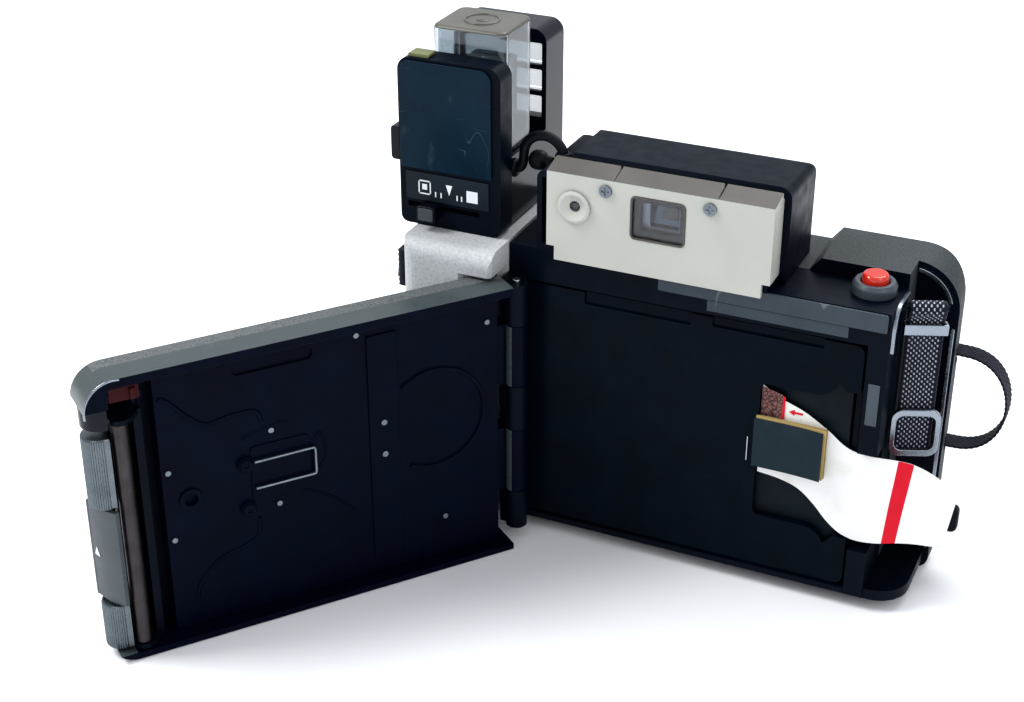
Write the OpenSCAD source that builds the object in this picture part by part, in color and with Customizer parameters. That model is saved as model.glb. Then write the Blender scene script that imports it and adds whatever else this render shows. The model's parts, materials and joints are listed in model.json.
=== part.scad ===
// Folding instant pack-film camera, seen from behind with its film door open, its front drawn out
// and its cube flash in place. X runs to the right as the user sees it, Y towards the lens, Z up.
// The origin is the mouth of the tripod socket in the underside.

/* [Body] */
// Overall width of the body, battery block included
body_w = 192; // [191:0.5:193]
// Height of the deck above the base
deck_z = 119; // [118.5:0.5:120]
// Plane of the film chamber's rear rim, behind the tripod socket
rim_y = -30; // [-30.5:0.5:-29.5]
// Front face of the front shell
front_y = 22; // [21.5:0.5:23]
// Rear face of the battery block
block_back = -46; // [-47:0.5:-45]

/* [Film door] */
// Length of the door from its hinge pin to its free end
door_len = 160; // [158:1:162]
// Height of the door
door_h = 110; // [109:0.5:110.5]
// Angle the door stands open
door_open = 128; // [90:1:130]

/* [Front] */
// How far the lens standard's rear face stands in front of its folded place
front_travel = 82; // [80:0.5:82]
// Width of the lens standard
standard_w = 92; // [86:1:94]
// Height of the lens standard
standard_h = 76; // [72:1:77]
// Outer radius of the lens barrel
lens_r = 21; // [18:0.5:22]

/* [Viewfinder] */
// Width of the beige viewfinder cover
finder_w = 82; // [80:0.5:83]
// Top of the viewfinder housing
finder_top = 154; // [153:0.5:155]

/* [Flash] */
// Height of the flash unit above the deck of the battery block
flash_h = 63; // [61:1:64]
// Width of the flash unit
flash_w = 40; // [39:0.5:41]

/* [Strap] */
// Width of the wrist strap's webbing
strap_w = 12.7; // [12:0.1:13]
// Thickness of the webbing
strap_t = 1.6; // [1.4:0.1:1.8]

/* [Hidden] */
$fn = 48;

half_w = body_w / 2;
block_right = -59.3;
block_top = deck_z + 1;
frame_left = -59;
frame_right = 80;
frame_bottom = 5;
shell_back = -7;
bay_back = 5;          // rear face of the shell inside the strap bay
hinge_x = -52.6;
hinge_y = -38;
pin_r = 1.5;
pin_play = 0.05;
knuckle_r = 4;
knuckle_gap = 0.3;
door_out = -8;         // outer face of the closed door, from the pin
door_rim = 7.5;        // inner rim of the closed door, from the pin
door_start = 5;
floor_in = door_out + 2;
roller_s = 148;
roller_r = 2.9;
upper_t = 3.2;
lower_t = -2.8;
unit_pin = [141.5, -3.5];
optic_x = 5;
optic_z = 50;
standard_back = front_travel - 4;
standard_t = 3;
shutter_t = 14;
flash_x = -82;
flash_z = block_top + 0.3;
flash_top = flash_z + flash_h;
flash_base_top = flash_z + 27;
flash_left = flash_x - flash_w / 2;
flash_right = flash_x + flash_w / 2;
cube_x = -77.5;
cube_y = -8.5;
button_x = 70;
button_y = -15.2;
button_floor = 107;
button_top = 126.2;
strap_turn = 22;
strap_mid = [88, -12];
strap_bar_z = 115;
frame_knuckles = [[6, 22], [49, 67], [92, 108]];
door_knuckles = [[22.3, 48.7], [67.3, 91.7]];
strut_foot = [0, 14];
strut_head = [76, 58];
strut_len = norm(strut_head - strut_foot);
strut_rise = atan2(strut_head[1] - strut_foot[1], strut_head[0] - strut_foot[0]);
louver_y = 17.9;
louver_span = [-98.9, -65.1];
function louver_z(i) = flash_base_top + 8.5 + 10 * i;
cord_r = 1.8;
wing_top = 149.5;      // top of the viewfinder housing's left wing
// The sync cord, from the flash unit's side up and over to the plug on the viewfinder
cord_route = [
    [-62.9, -17, 142.5], [-61.2, -17, 142.8], [-60, -17, 144], [-59.4, -17, 146], [-59.2, -17, 148.5],
    [-58.8, -17, 151], [-57.6, -17, 153.4], [-55.6, -17, 155.2], [-53, -17, 156.2], [-50.2, -17, 156.3],
    [-47.6, -17, 155.4], [-45.6, -17, 153.8], [-44.3, -17, 151.8], [-44, -17, 149.8]
];

// ---- Building blocks ----

function arc_pts(cx, cy, r, a0, a1, n) =
    [for (i = [0:n]) let (a = a0 + (a1 - a0) * i / n) [cx + r * cos(a), cy + r * sin(a)]];
function corner(cx, cy, r, a0, n) = r > 0 ? arc_pts(cx, cy, r, a0, a0 + 90, n) : [[cx, cy]];
// Rectangle with its own radius at each corner: low-low, high-low, high-high, low-high
function rr(x0, x1, y0, y1, r, n = 6) = concat(
    corner(x0 + r[0], y0 + r[0], r[0], 180, n),
    corner(x1 - r[1], y0 + r[1], r[1], 270, n),
    corner(x1 - r[2], y1 - r[2], r[2], 0, n),
    corner(x0 + r[3], y1 - r[3], r[3], 90, n)
);
function even(r) = [r, r, r, r];

module block(x, y, z) {
    translate([x[0], y[0], z[0]]) cube([x[1] - x[0], y[1] - y[0], z[1] - z[0]]);
}
module prism_z(pts, z) {
    translate([0, 0, z[0]]) linear_extrude(z[1] - z[0]) polygon(pts);
}
module prism_y(pts, y) {
    translate([0, y[1], 0]) rotate([90, 0, 0]) linear_extrude(y[1] - y[0]) polygon(pts);
}
module prism_x(pts, x) {
    translate([x[0], 0, 0]) rotate([90, 0, 90]) linear_extrude(x[1] - x[0]) polygon(pts);
}
module rod_z(x, y, r, z) {
    translate([x, y, z[0]]) cylinder(r = r, h = z[1] - z[0]);
}
module rod_y(x, z, r, y) {
    translate([x, y[0], z]) rotate([-90, 0, 0]) cylinder(r = r, h = y[1] - y[0]);
}
module rod_x(y, z, r, x) {
    translate([x[0], y, z]) rotate([0, 90, 0]) cylinder(r = r, h = x[1] - x[0]);
}
// Places a piece drawn on the closed door, X along the door from the pin and Y inwards
module on_door() {
    translate([hinge_x, hinge_y, 0]) rotate([0, 0, -door_open]) children();
}

// ---- Body ----

module front_shell() {
    step_x = 45;
    step_top = deck_z + 5;
    plan = concat(
        [[frame_left, shell_back], [frame_right, shell_back], [frame_right, bay_back], [half_w, bay_back]],
        corner(half_w - 10, front_y - 10, 10, 0, 8),
        [[frame_left, front_y]]
    );
    elevation = concat(
        [[frame_left, 0]],
        corner(half_w - 5, 5, 5, 270, 5),
        corner(half_w - 17, step_top - 17, 17, 0, 10),
        [[step_x + 4, step_top], [step_x, deck_z], [frame_left, deck_z]]
    );
    color("dimgray") difference() {
        intersection() {
            prism_z(plan, [0, step_top]);
            prism_y(elevation, [shell_back, front_y]);
        }
        prism_y(rr(-50, 60, 8, 111, even(4)), [shell_back - 1, front_y + 1]);
        block([63, 77.5], [shell_back - 1, front_y - 2.5], [6, deck_z - 3]);
        block([83, half_w + 1], [9, 18.5], [85, 91]);
        block([83, half_w + 1], [9, 18.5], [49, 55]);
        rod_z(0, 0, 6, [-1, 6.8]);
    }
    // Studs in the recess that the struts turn on
    color("dimgray") {
        rod_x(strut_foot[0], strut_foot[1], 1, [-49.98, -42.6]);
        rod_x(strut_foot[0], strut_foot[1], 1, [52.6, 59.98]);
    }
}

module chamber_frame() {
    color([0.07, 0.08, 0.11]) difference() {
        union() {
            block([frame_left, frame_right], [rim_y, shell_back - 0.3], [frame_bottom, deck_z]);
            for (k = frame_knuckles) {
                rod_z(hinge_x, hinge_y, knuckle_r, k);
                block([frame_left, hinge_x], [hinge_y - 1, rim_y + 1], k);
            }
            // Floor of the strap bay
            prism_z(concat([[frame_right - 1, rim_y + 1]], corner(94 - 12, rim_y + 13, 12, 270, 6),
                [[94, bay_back - 0.02], [frame_right + 0.02, bay_back - 0.02],
                [frame_right + 0.02, shell_back - 0.3], [frame_right - 1, shell_back - 0.3]]), [4.4, 8.6]);
            // The bar that the wrist strap hangs from
            on_strap() rod_x(0, strap_bar_z, 1.2, [-10.5, 7.4]);
        }
        block([-56, 73], [rim_y - 0.1, -16.5], [7.3, 106]);
        prism_y(rr(-39.5, 49.5, 14, 87, even(2)), [-17, -13]);
        prism_y(rr(-50, 60, 8, 111, even(4)), [-13.5, -6]);
        block([72.9, frame_right + 1], [rim_y - 0.1, -22], [24, 64]);
        rod_z(button_x, button_y, 6, [button_floor, deck_z + 1]);
        rod_z(hinge_x, hinge_y, pin_r + pin_play, [0, 112]);
    }
}

module battery_block() {
    gap = 2.4;
    under = door_h + 1.2;
    plan = rr(-half_w, block_right, block_back, front_y, [7, 2, 1, 9], 6);
    side = concat(
        [[block_back, 0], [front_y, 0]],
        corner(front_y - 7, block_top - 7, 7, 0, 6),
        corner(block_back + 6, block_top - 6, 6, 90, 6)
    );
    color([0.72, 0.73, 0.74]) difference() {
        intersection() {
            prism_z(plan, [0, block_top]);
            prism_x(side, [-half_w, block_right]);
        }
        // Room for the open film door and for its corner as it swings
        translate([hinge_x, hinge_y, -1]) rotate([0, 0, -door_open])
            translate([-11, door_out - gap, 0]) cube([42, 34, under + 1]);
        // Battery compartment and its doorway
        block([-93.4, -62.4], [-7.5, 19.4], [22, 82]);
        block([-92.8, -62.9], [19.3, front_y + 1], [20, 84]);
        rod_z(-91.2, 20.9, 0.85, [18.4, 85.6]);
        // Socket for the flash unit's foot
        block([-88, -72], [-6, 6], [112, block_top + 1]);
    }
}

module battery_door() {
    color([0.6, 0.61, 0.63]) {
        union() {
            block([-91.2, -63.2], [19.6, 22], [20.3, 83.7]);
            rod_z(-91.2, 20.9, 1.1, [20.3, 83.7]);
            rod_z(-91.2, 20.9, 0.8, [18.7, 85.3]);
            block([-67, -64.5], [22, 22.8], [44, 60]);
        }
    }
}

module batteries() {
    cell_r = 7;
    for (x = [-85.4, -70.5]) color("steelblue") {
        union() {
            rod_z(x, 5.5, cell_r, [26, 75]);
            rod_z(x, 5.5, 2.7, [75, 76.6]);
        }
    }
}

module battery_contacts() {
    for (x = [-85.4, -70.5]) color("silver") {
        rod_z(x, 5.5, 4, [22.3, 25.8]);
        block([x - 4, x + 4], [1, 10], [77, 78]);
    }
}

module rear_rail() {
    color([0.42, 0.44, 0.48])
        prism_y(rr(-2, 79, 112, deck_z - 0.3, even(0.6), 2), [rim_y - 1, rim_y - 0.02]);
}

module rail_seals() {
    color([0.55, 0.57, 0.6]) {
        block([16, 66], [rim_y - 0.4, rim_y - 0.02], [107.5, 111.7]);
        block([74.5, 78.5], [rim_y - 0.4, rim_y - 0.02], [76, 92]);
    }
}

// The bright strips round the strap bay: up the shell's end, over its corner, and beside the deck
module shell_trim() {
    band = 1.4;
    color([0.75, 0.77, 0.8]) {
        prism_y(rr(half_w - 2.2, half_w - 0.8, 10, 101, even(0.6), 3), [bay_back - 1.2, bay_back - 0.02]);
        prism_y(
            concat(
                arc_pts(half_w - 17, deck_z - 12, 15, 14, 84, 10),
                arc_pts(half_w - 17, deck_z - 12, 15 - band, 84, 14, 10)
            ),
            [bay_back - 1.6, bay_back - 0.02]
        );
        prism_x(
            concat([[rim_y + 1, 104], [rim_y + 1 + band, 104]], arc_pts(rim_y + 9, 112, 8 - band, 180, 90, 6),
                [[-10, 120 - band], [-10, deck_z]], arc_pts(rim_y + 9, 112, 8, 90, 180, 6)),
            [frame_right + 0.02, frame_right + 1.4]
        );
    }
}

module tripod_bush() {
    color("silver") difference() {
        rod_z(0, 0, 5.95, [0, 6.5]);
        rod_z(0, 0, 3.175, [-1, 5.5]);
    }
}

module hinge_pin() {
    color("silver") rod_z(hinge_x, hinge_y, pin_r, [5, 109.5]);
}

// ---- Viewfinder ----

module viewfinder_housing() {
    left = -48;
    right = 41;
    narrow = 37;
    base = deck_z + 0.1;
    side = concat(
        [[-31, base], [7, base]],
        corner(7 - 5, finder_top - 5, 5, 0, 5),
        [[-21.5, finder_top], [-23.4, 151], [-31, 149.3]]
    );
    // The left end is a lower wing that the sync cord enters from above
    elevation = concat(
        [[left, base], [right, base]],
        corner(right - 4, finder_top - 4, 4, 0, 5),
        [[-38, finder_top], [-40.5, wing_top]],
        corner(left + 3, wing_top - 3, 3, 90, 4)
    );
    color([0.05, 0.06, 0.08]) difference() {
        intersection() {
            prism_x(side, [left, right]);
            prism_y(elevation, [-31, 7]);
        }
        block([left + 2, narrow - 2], [-32, 4.5], [deck_z + 3, 147]);
        block([narrow, right + 1], [-32, -22], [deck_z, finder_top + 1]);
        block([-9, 20], [4, 8], [128, 144]);
        rod_y(-33, 139, 4, [4, 8]);
        for (x = [-21.4, 16.2]) rod_y(x, 146.7, 1.25, [-32, -28]);
    }
}

module viewfinder_cover() {
    left = -43.5;
    right = left + finder_w;
    lip = 117.3;
    profile = [
        [-33, 122.5], [-33, 150.7], [-24, 153], [-24, 151.2], [-31.2, 149.6], [-31.2, 122.5]
    ];
    color([0.84, 0.84, 0.8]) difference() {
        union() {
            prism_x(profile, [left, right]);
            block([left + 3, right - 3], [-33, -31.2], [lip, 122.5]);
            // Side cheek that wraps the housing
            prism_x([[-31.3, 122.5], [-22.4, 122.5], [-22.4, 150.2], [-24, 151.4], [-31.3, 149.7]], [right - 1.2, right]);
        }
        prism_y(rr(-12.3, 7.8, 130.5, 146.8, even(2), 4), [-40, -30]);
        rod_y(-32.9, 138.8, 4.6, [-40, -30]);
        for (x = [-21.4, 16.2]) rod_y(x, 146.7, 1.25, [-40, -25]);
        for (x = [-19.5, 18]) block([x, x + 1], [-32.4, -20], [150.2, 160]);
    }
}

// The eye window in the cover and the two front windows of the housing
module viewfinder_glass() {
    color([0.6, 0.7, 0.75, 0.5]) {
        prism_y(rr(-12, 7.5, 130.8, 146.5, even(1.8), 4), [-32.4, -31.4]);
        block([-8.8, 19.8], [4.8, 6.3], [128.2, 143.8]);
        rod_y(-33, 139, 3.8, [4.8, 6.3]);
    }
}

module focus_eyepiece() {
    color([0.8, 0.8, 0.76]) translate([-32.9, -31.3, 138.8]) rotate([90, 0, 0]) rotate_extrude()
        polygon([[1.9, 0], [4.5, 0], [4.5, 1.8], [6, 2.4], [6, 2.8], [4.9, 3.2], [3.6, 2.4], [1.9, 1.4]]);
}

module viewfinder_screws() {
    for (x = [-21.4, 16.2]) color("silver") difference() {
        union() {
            rod_y(x, 146.7, 1.2, [-33, -28.5]);
            rod_y(x, 146.7, 2.3, [-33.9, -33]);
        }
        block([x - 1.4, x + 1.4], [-35, -33.4], [146.4, 147]);
        block([x - 0.3, x + 0.3], [-35, -33.4], [145.3, 148.1]);
    }
}

// ---- Shutter button ----

module shutter_collar() {
    color([0.55, 0.57, 0.6]) translate([button_x, button_y, deck_z + 0.02]) rotate_extrude()
        polygon([[4.75, 0], [7.7, 0], [7.7, 3.2], [6.7, 4.6], [5.4, 4.6], [4.75, 4]]);
}

module shutter_button() {
    color([0.8, 0.16, 0.08]) translate([button_x, button_y, 0]) rotate_extrude() polygon(concat(
        [[0, 112], [5.6, 112], [5.6, 114], [4.55, 114], [4.55, button_top - 1.2]],
        arc_pts(3.35, button_top - 1.2, 1.2, 0, 90, 4),
        [[0, button_top]]
    ));
}

module button_spring() {
    color("silver") difference() {
        rod_z(button_x, button_y, 5, [button_floor + 0.1, 111.9]);
        rod_z(button_x, button_y, 4, [button_floor - 1, 113]);
    }
}

// ---- Strap ----

module on_strap() {
    translate([strap_mid[0], strap_mid[1], 0]) rotate([0, 0, strap_turn]) children();
}

module strap_webbing() {
    across = [-strap_w / 2, strap_w / 2];
    color([0.08, 0.08, 0.11]) on_strap() difference() {
        union() {
            block(across, [-strap_t / 2, strap_t / 2], [60, strap_bar_z - 1.5]);
            rod_x(0, strap_bar_z, 1.2 + strap_t, across);
        }
        rod_x(0, strap_bar_z, 1.25, [across[0] - 1, across[1] + 1]);
    }
}

module strap_keeper() {
    color([0.72, 0.74, 0.76]) on_strap() difference() {
        block([-strap_w / 2 - 1.2, strap_w / 2 + 1.2], [-2, 2], [105.5, 109.5]);
        block([-strap_w / 2 - 0.1, strap_w / 2 + 0.1], [-0.9, 0.9], [105, 110]);
    }
}

module strap_buckle() {
    color("silver") on_strap() translate([0, -2.2, 0]) difference() {
        prism_y(rr(-8.7, 8.7, 58.5, 77, even(4), 5), [-1, 1]);
        prism_y(rr(-6.7, 6.7, 61, 74.5, even(2.6), 5), [-2, 2]);
    }
}

// The outer run of the strap: out of one slot in the shell's end, round a loop, back in at the other
module strap_loop() {
    color([0.05, 0.05, 0.06]) translate([0, 18.2, 0]) rotate([90, 0, 0]) linear_extrude(8.9) polygon(concat(
        [[86, 89.2], [97, 89.2]],
        [for (i = [1:19]) let (a = 90 - 180 * i / 20) [97.5 + 18.6 * pow(cos(a), 0.8), 70 + 19.2 * sin(a)]],
        [[97, 50.8], [86, 50.8], [86, 52], [97, 52]],
        [for (i = [19:-1:1]) let (a = 90 - 180 * i / 20) [97.5 + 17.4 * pow(cos(a), 0.8), 70 + 18 * sin(a)]],
        [[97, 88], [86, 88]]
    ));
    // The stitched end that shows at the block's left, and the tab at the shell's right
    color([0.05, 0.05, 0.06]) {
        prism_y(rr(-101.5, -96.1, 97, 112, [2, 0.5, 0.5, 2], 4), [-38, -26]);
        prism_y(rr(96.1, 104.5, 16, 27, [0.5, 3, 3, 0.5], 4), [8, 12]);
    }
}

// ---- Film pack ----

module film_pack_shell() {
    cut = concat(
        [[37, 31]], [[38, 29]], arc_pts(56, 21, 8, 90, 20, 4), arc_pts(73.2, 21, 9, 150, 130, 2),
        [[76, 26], [76, 88]], arc_pts(73.2, 93, 9, 230, 215, 2), arc_pts(56, 92, 9, -20, -90, 4),
        [[38, 83]], [[37, 81]]
    );
    color([0.05, 0.06, 0.08]) difference() {
        prism_y(rr(-55, 72, 8, 104.7, [2, 3, 3, 2], 3), [-29, -17]);
        prism_y(rr(-53, 70, 10, 102.7, even(1), 2), [-26, -16.9]);
        prism_y(cut, [-30, -25.9]);
        prism_y(rr(-30, 10, 100, 105.5, even(0.5), 2), [-30, -28]);
        prism_y(rr(18, 58, 101.2, 105.5, even(0.5), 2), [-30, -28]);
    }
}

module film_stack() {
    color([0.2, 0.2, 0.22]) block([-52, 69], [-25.8, -17.2], [11, 101.7]);
}

module tab_pad() {
    color([0.2, 0.22, 0.24]) block([35.8, 61.2], [-31, -30.1], [50, 69.5]);
    color([0.75, 0.66, 0.42]) block([37.3, 61.8], [-30, -28.4], [50.4, 70.2]);
}

module paper_leader() {
    top = [[37.5, 82], [44, 78], [53, 74.5], [62, 69], [68, 64.5], [74, 62.5], [86, 62.4], [97, 60.4], [107, 56]];
    low = [[107, 32], [94, 29.5], [78, 26.8], [70, 28.2], [64, 32.5], [59, 38], [53, 43], [46, 45.4], [37.5, 46.5]];
    color("white") prism_y(concat(top, low), [-27.9, -27.5]);
}

// ---- Film door ----

module door_shell() {
    outline = rr(door_start, door_len, 0, door_h, [0, 9, 11, 0], 8);
    exit_s = 151.6;
    color([0.5, 0.52, 0.55]) on_door() difference() {
        union() {
            difference() {
                prism_y(outline, [door_out, door_rim]);
                prism_y(rr(door_start - 1, exit_s, 2.4, door_h - 3.2, [0, 0, 2, 0], 3), [floor_in, door_rim + 1]);
                // The end is open for the grips, the latch and the print's way out
                block([exit_s - 0.1, door_len + 1], [door_out - 1, door_rim + 1], [2.7, 99.5]);
            }
            for (k = door_knuckles) {
                rod_z(0, 0, knuckle_r, k);
                block([0, door_start + 3], [door_out, -1], k);
            }
            // Bearings for the roller unit's pivot
            block([unit_pin[0] - 3, unit_pin[0] + 3], [floor_in, -0.5], [97.6, 99.8]);
        }
        rod_z(0, 0, pin_r + pin_play, [-1, door_h + 1]);
        rod_z(unit_pin[0], unit_pin[1], 1.05, [1, 98.8]);
        for (k = frame_knuckles)
            block([-6, knuckle_r + 2.2], [-knuckle_r - 0.6, knuckle_r + 0.6], [k[0] - knuckle_gap, k[1] + knuckle_gap]);
    }
}

module door_inner_plate() {
    face = 1.2;
    ring_c = [34, 62];
    color([0.04, 0.05, 0.09]) on_door() difference() {
        union() {
            prism_y(rr(8.2, 135.4, 2.7, 106.4, even(1.5), 3), [floor_in + 0.02, face]);
            translate([ring_c[0], face, ring_c[1]]) rotate([-90, 0, 0]) rotate_extrude(angle = 250, start = 60)
                translate([19, 0]) square([1.4, 0.9]);
            rod_y(126, 54.6, 4.2, [face, face + 0.9]);
            for (z = [45, 63]) rod_y(106, z, 3, [face, face + 1.4]);
        }
        prism_y(rr(9.8, 133.8, 4.2, 104.9, even(1), 3), [floor_in - 0.1, face - 1.6]);
        prism_y(rr(79, 108, 97.6, 102, even(2.1), 4), [face - 1, face + 1]);
        rod_y(126, 54.6, 2.4, [face - 1, face + 2]);
    }
    // The flat strip riveted across the plate
    color([0.09, 0.11, 0.16]) on_door() prism_y(rr(48, 59.4, 9, 101, even(0.8), 3), [face + 0.02, 1.9]);
}

module door_spring_wire() {
    wire_r = 0.6;
    color("silver") on_door() {
        union() {
            for (z = [53, 63.6]) rod_x(2.9, z, wire_r, [80.6, 103]);
            rod_z(80.6, 2.9, wire_r, [53, 63.6]);
        }
    }
}

module door_rivets() {
    spots = [
        [133, 67], [133, 40], [95.8, 73.8], [94.5, 43.8], [30.5, 19.1], [12.7, 95.8], [63, 102.5]
    ];
    color([0.6, 0.62, 0.66]) on_door() {
        for (p = spots) rod_y(p[0], p[1], 1.1, [1.22, 1.9]);
        for (z = [66, 53]) rod_y(54, z, 1.2, [1.92, 2.6]);
    }
}

module grip(z) {
    prism_z(
        concat([[152, -7.6]], arc_pts(153.6, -1.1, 6.4, -88, 88, 12), [[152, 5.4]]),
        z
    );
}

module door_grips() {
    color([0.62, 0.64, 0.68]) on_door() {
        grip([60.5, 87.5]);
        grip([3.5, 21.5]);
    }
}

module door_latch() {
    color([0.04, 0.05, 0.07]) on_door()
        prism_z(concat([[152, -7.6]], arc_pts(153, -0.4, 6.8, -90, 90, 12), [[152, 6.4]]), [91.4, 99.2]);
}

module exit_flap() {
    color([0.55, 0.57, 0.6]) on_door() {
        union() {
            prism_z([[159, -7.2], [159.8, -6.6], [157.4, 1.2], [153.4, 6.6], [151.9, 5.9], [155.8, 0.4], [157.8, -5]], [22.2, 59.8]);
            rod_z(158.6, -6.2, 1.2, [22.2, 59.8]);
        }
    }
}

// ---- Roller unit ----

module roller_frame() {
    color([0.13, 0.14, 0.17]) on_door() difference() {
        union() {
            for (z = [[2.8, 4.6], [92.2, 94]]) prism_z([
                [139.6, -4.9], [140.3, -5.4], [151.2, -5.6], [151.2, 5], [149.8, 6.4], [147, 6.9], [144, 5.4], [140.2, 0.5]
            ], z);
            block([139.8, 142.6], [-1.4, 1.2], [3, 94]);
            rod_z(unit_pin[0], unit_pin[1], 2, [92.2, 96.6]);
        }
        rod_z(unit_pin[0], unit_pin[1], 1.05, [0, 100]);
        for (t = [upper_t, lower_t]) rod_z(roller_s, t, 1.05, [0, 100]);
    }
    color("silver") on_door() rod_z(unit_pin[0], unit_pin[1], 1, [1.2, 98.6]);
}

module roller(t) {
    union() {
        rod_z(roller_s, t, roller_r, [4.9, 91.9]);
        rod_z(roller_s, t, 1, [2.9, 93.9]);
    }
}

module roller_upper() {
    color([0.52, 0.48, 0.46]) on_door() roller(upper_t);
}

module roller_lower() {
    color([0.6, 0.6, 0.62]) on_door() roller(lower_t);
}

module roller_clip() {
    color([0.7, 0.1, 0.08]) on_door() {
        union() {
            block([140.5, 150.9], [2.2, 5.4], [100.4, 105.6]);
            block([142, 144], [5.4, 6.8], [101, 105]);
        }
    }
}

// ---- Folding front ----

module front_standard() {
    x0 = optic_x - standard_w / 2;
    x1 = optic_x + standard_w / 2;
    z0 = 12;
    color([0.12, 0.13, 0.15]) difference() {
        union() {
            prism_y(rr(x0, x1, z0, z0 + standard_h, even(6), 5), [standard_back, standard_back + standard_t]);
            block([x0 + 2, x1 - 2], [standard_back + standard_t, standard_back + 9], [z0, z0 + 2]);
        }
        rod_y(optic_x, optic_z, 14, [standard_back - 1, standard_back + standard_t + 1]);
    }
}

module shutter_housing() {
    y0 = standard_back + standard_t + 0.02;
    y1 = y0 + shutter_t;
    color([0.7, 0.71, 0.72]) difference() {
        prism_y(rr(optic_x - 40, optic_x + 40, 19, 84, even(8), 6), [y0, y1]);
        prism_y(rr(optic_x - 37.5, optic_x + 37.5, 21.5, 81.5, even(6), 5), [y0 - 1, y1 - 2]);
        rod_y(optic_x, optic_z, lens_r + 0.3, [y0 - 1, y1 + 1]);
        rod_y(optic_x - 29, 70, 6, [y1 - 3, y1 + 1]);
        rod_y(optic_x + 29, 68, 1.05, [y1 - 3, y1 + 1]);
    }
    // Electric eye behind its window
    color([0.2, 0.25, 0.35]) rod_y(optic_x - 29, 70, 5.8, [y1 - 2.6, y1 - 0.6]);
}

module lens_barrel() {
    y0 = standard_back + standard_t + 6;
    color([0.06, 0.06, 0.07]) translate([optic_x, y0, optic_z]) rotate([-90, 0, 0]) rotate_extrude() polygon([
        [13, 0], [lens_r - 2.2, 0], [lens_r - 2.2, 13.6], [lens_r - 4.2, 17.2], [15, 17.2],
        [11.5, 12], [11.5, 4], [13, 4]
    ]);
}

module lens_glass() {
    y0 = standard_back + standard_t + 12;
    color([0.3, 0.35, 0.5, 0.6]) translate([optic_x, y0, optic_z]) rotate([-90, 0, 0]) rotate_extrude()
        polygon(concat([[0, 0], [11.3, 0], [11.3, 3.4]], arc_pts(0, -15, 21.8, 58, 90, 8)));
}

module exposure_ring() {
    y0 = standard_back + standard_t + shutter_t + 0.3;
    color([0.75, 0.76, 0.78]) translate([optic_x, y0, optic_z]) rotate([-90, 0, 0]) difference() {
        union() {
            cylinder(r = lens_r + 3, h = 2.6);
            for (a = [0:15:345]) rotate([0, 0, a]) translate([lens_r + 2.6, 0, 0]) cylinder(r = 1, h = 2.6);
        }
        translate([0, 0, -1]) cylinder(r = lens_r - 1.9, h = 5);
    }
}

module cocking_lever() {
    y1 = standard_back + standard_t + shutter_t + 0.02;
    color([0.1, 0.1, 0.12]) {
        union() {
            rod_y(optic_x + 29, 68, 1, [y1 - 2.4, y1 + 0.3]);
            rod_y(optic_x + 29, 68, 4, [y1 + 0.3, y1 + 2.1]);
            prism_y([[32.4, 64.4], [35.6, 64.4], [37.6, 79], [33.8, 79]], [y1 + 0.3, y1 + 2.1]);
            block([33.4, 38], [y1 + 2.1, y1 + 5], [78, 80.6]);
        }
    }
}

module focus_bar() {
    y0 = standard_back + standard_t + 1;
    color([0.3, 0.31, 0.34]) {
        union() {
            block([optic_x - 36, optic_x + 36], [y0, y0 + 3.4], [14.3, 18.4]);
            for (x = [optic_x - 36, optic_x + 28]) block([x, x + 8], [y0 + 3.4, y0 + 9], [14.3, 18.4]);
        }
    }
}

// A tapered skin from the film aperture to the lens standard
module bellows() {
    wall = 1.6;
    rear_x0 = -42;
    rear_x1 = 52;
    color([0.05, 0.05, 0.06]) difference() {
        hull() {
            prism_y(rr(rear_x0, rear_x1, 11.5, 90, even(2), 2), [-12.6, -12.5]);
            prism_y(rr(optic_x - 32, optic_x + 32, 20, 80, even(2), 2), [standard_back - 0.2, standard_back - 0.1]);
        }
        hull() {
            prism_y(rr(rear_x0 + wall, rear_x1 - wall, 11.5 + wall, 90 - wall, even(1), 2), [-13, -12.9]);
            prism_y(
                rr(optic_x - 32 + wall, optic_x + 32 - wall, 20 + wall, 80 - wall, even(1), 2),
                [standard_back, standard_back + 0.1]
            );
        }
    }
}

module strut(x) {
    translate([x, strut_foot[0], strut_foot[1]]) rotate([strut_rise, 0, 0]) difference() {
        union() {
            translate([0, 0, -2.5]) cube([1.4, strut_len, 5]);
            rotate([0, 90, 0]) cylinder(r = 3, h = 1.4);
            translate([0, strut_len, 0]) rotate([0, 90, 0]) cylinder(r = 3, h = 1.4);
        }
        translate([-1, 0, 0]) rotate([0, 90, 0]) cylinder(r = 1.05, h = 4);
    }
}

module left_strut() {
    color("silver") strut(-44.4);
}

module right_strut() {
    color("silver") strut(53);
}

// ---- Flash unit ----

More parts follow.
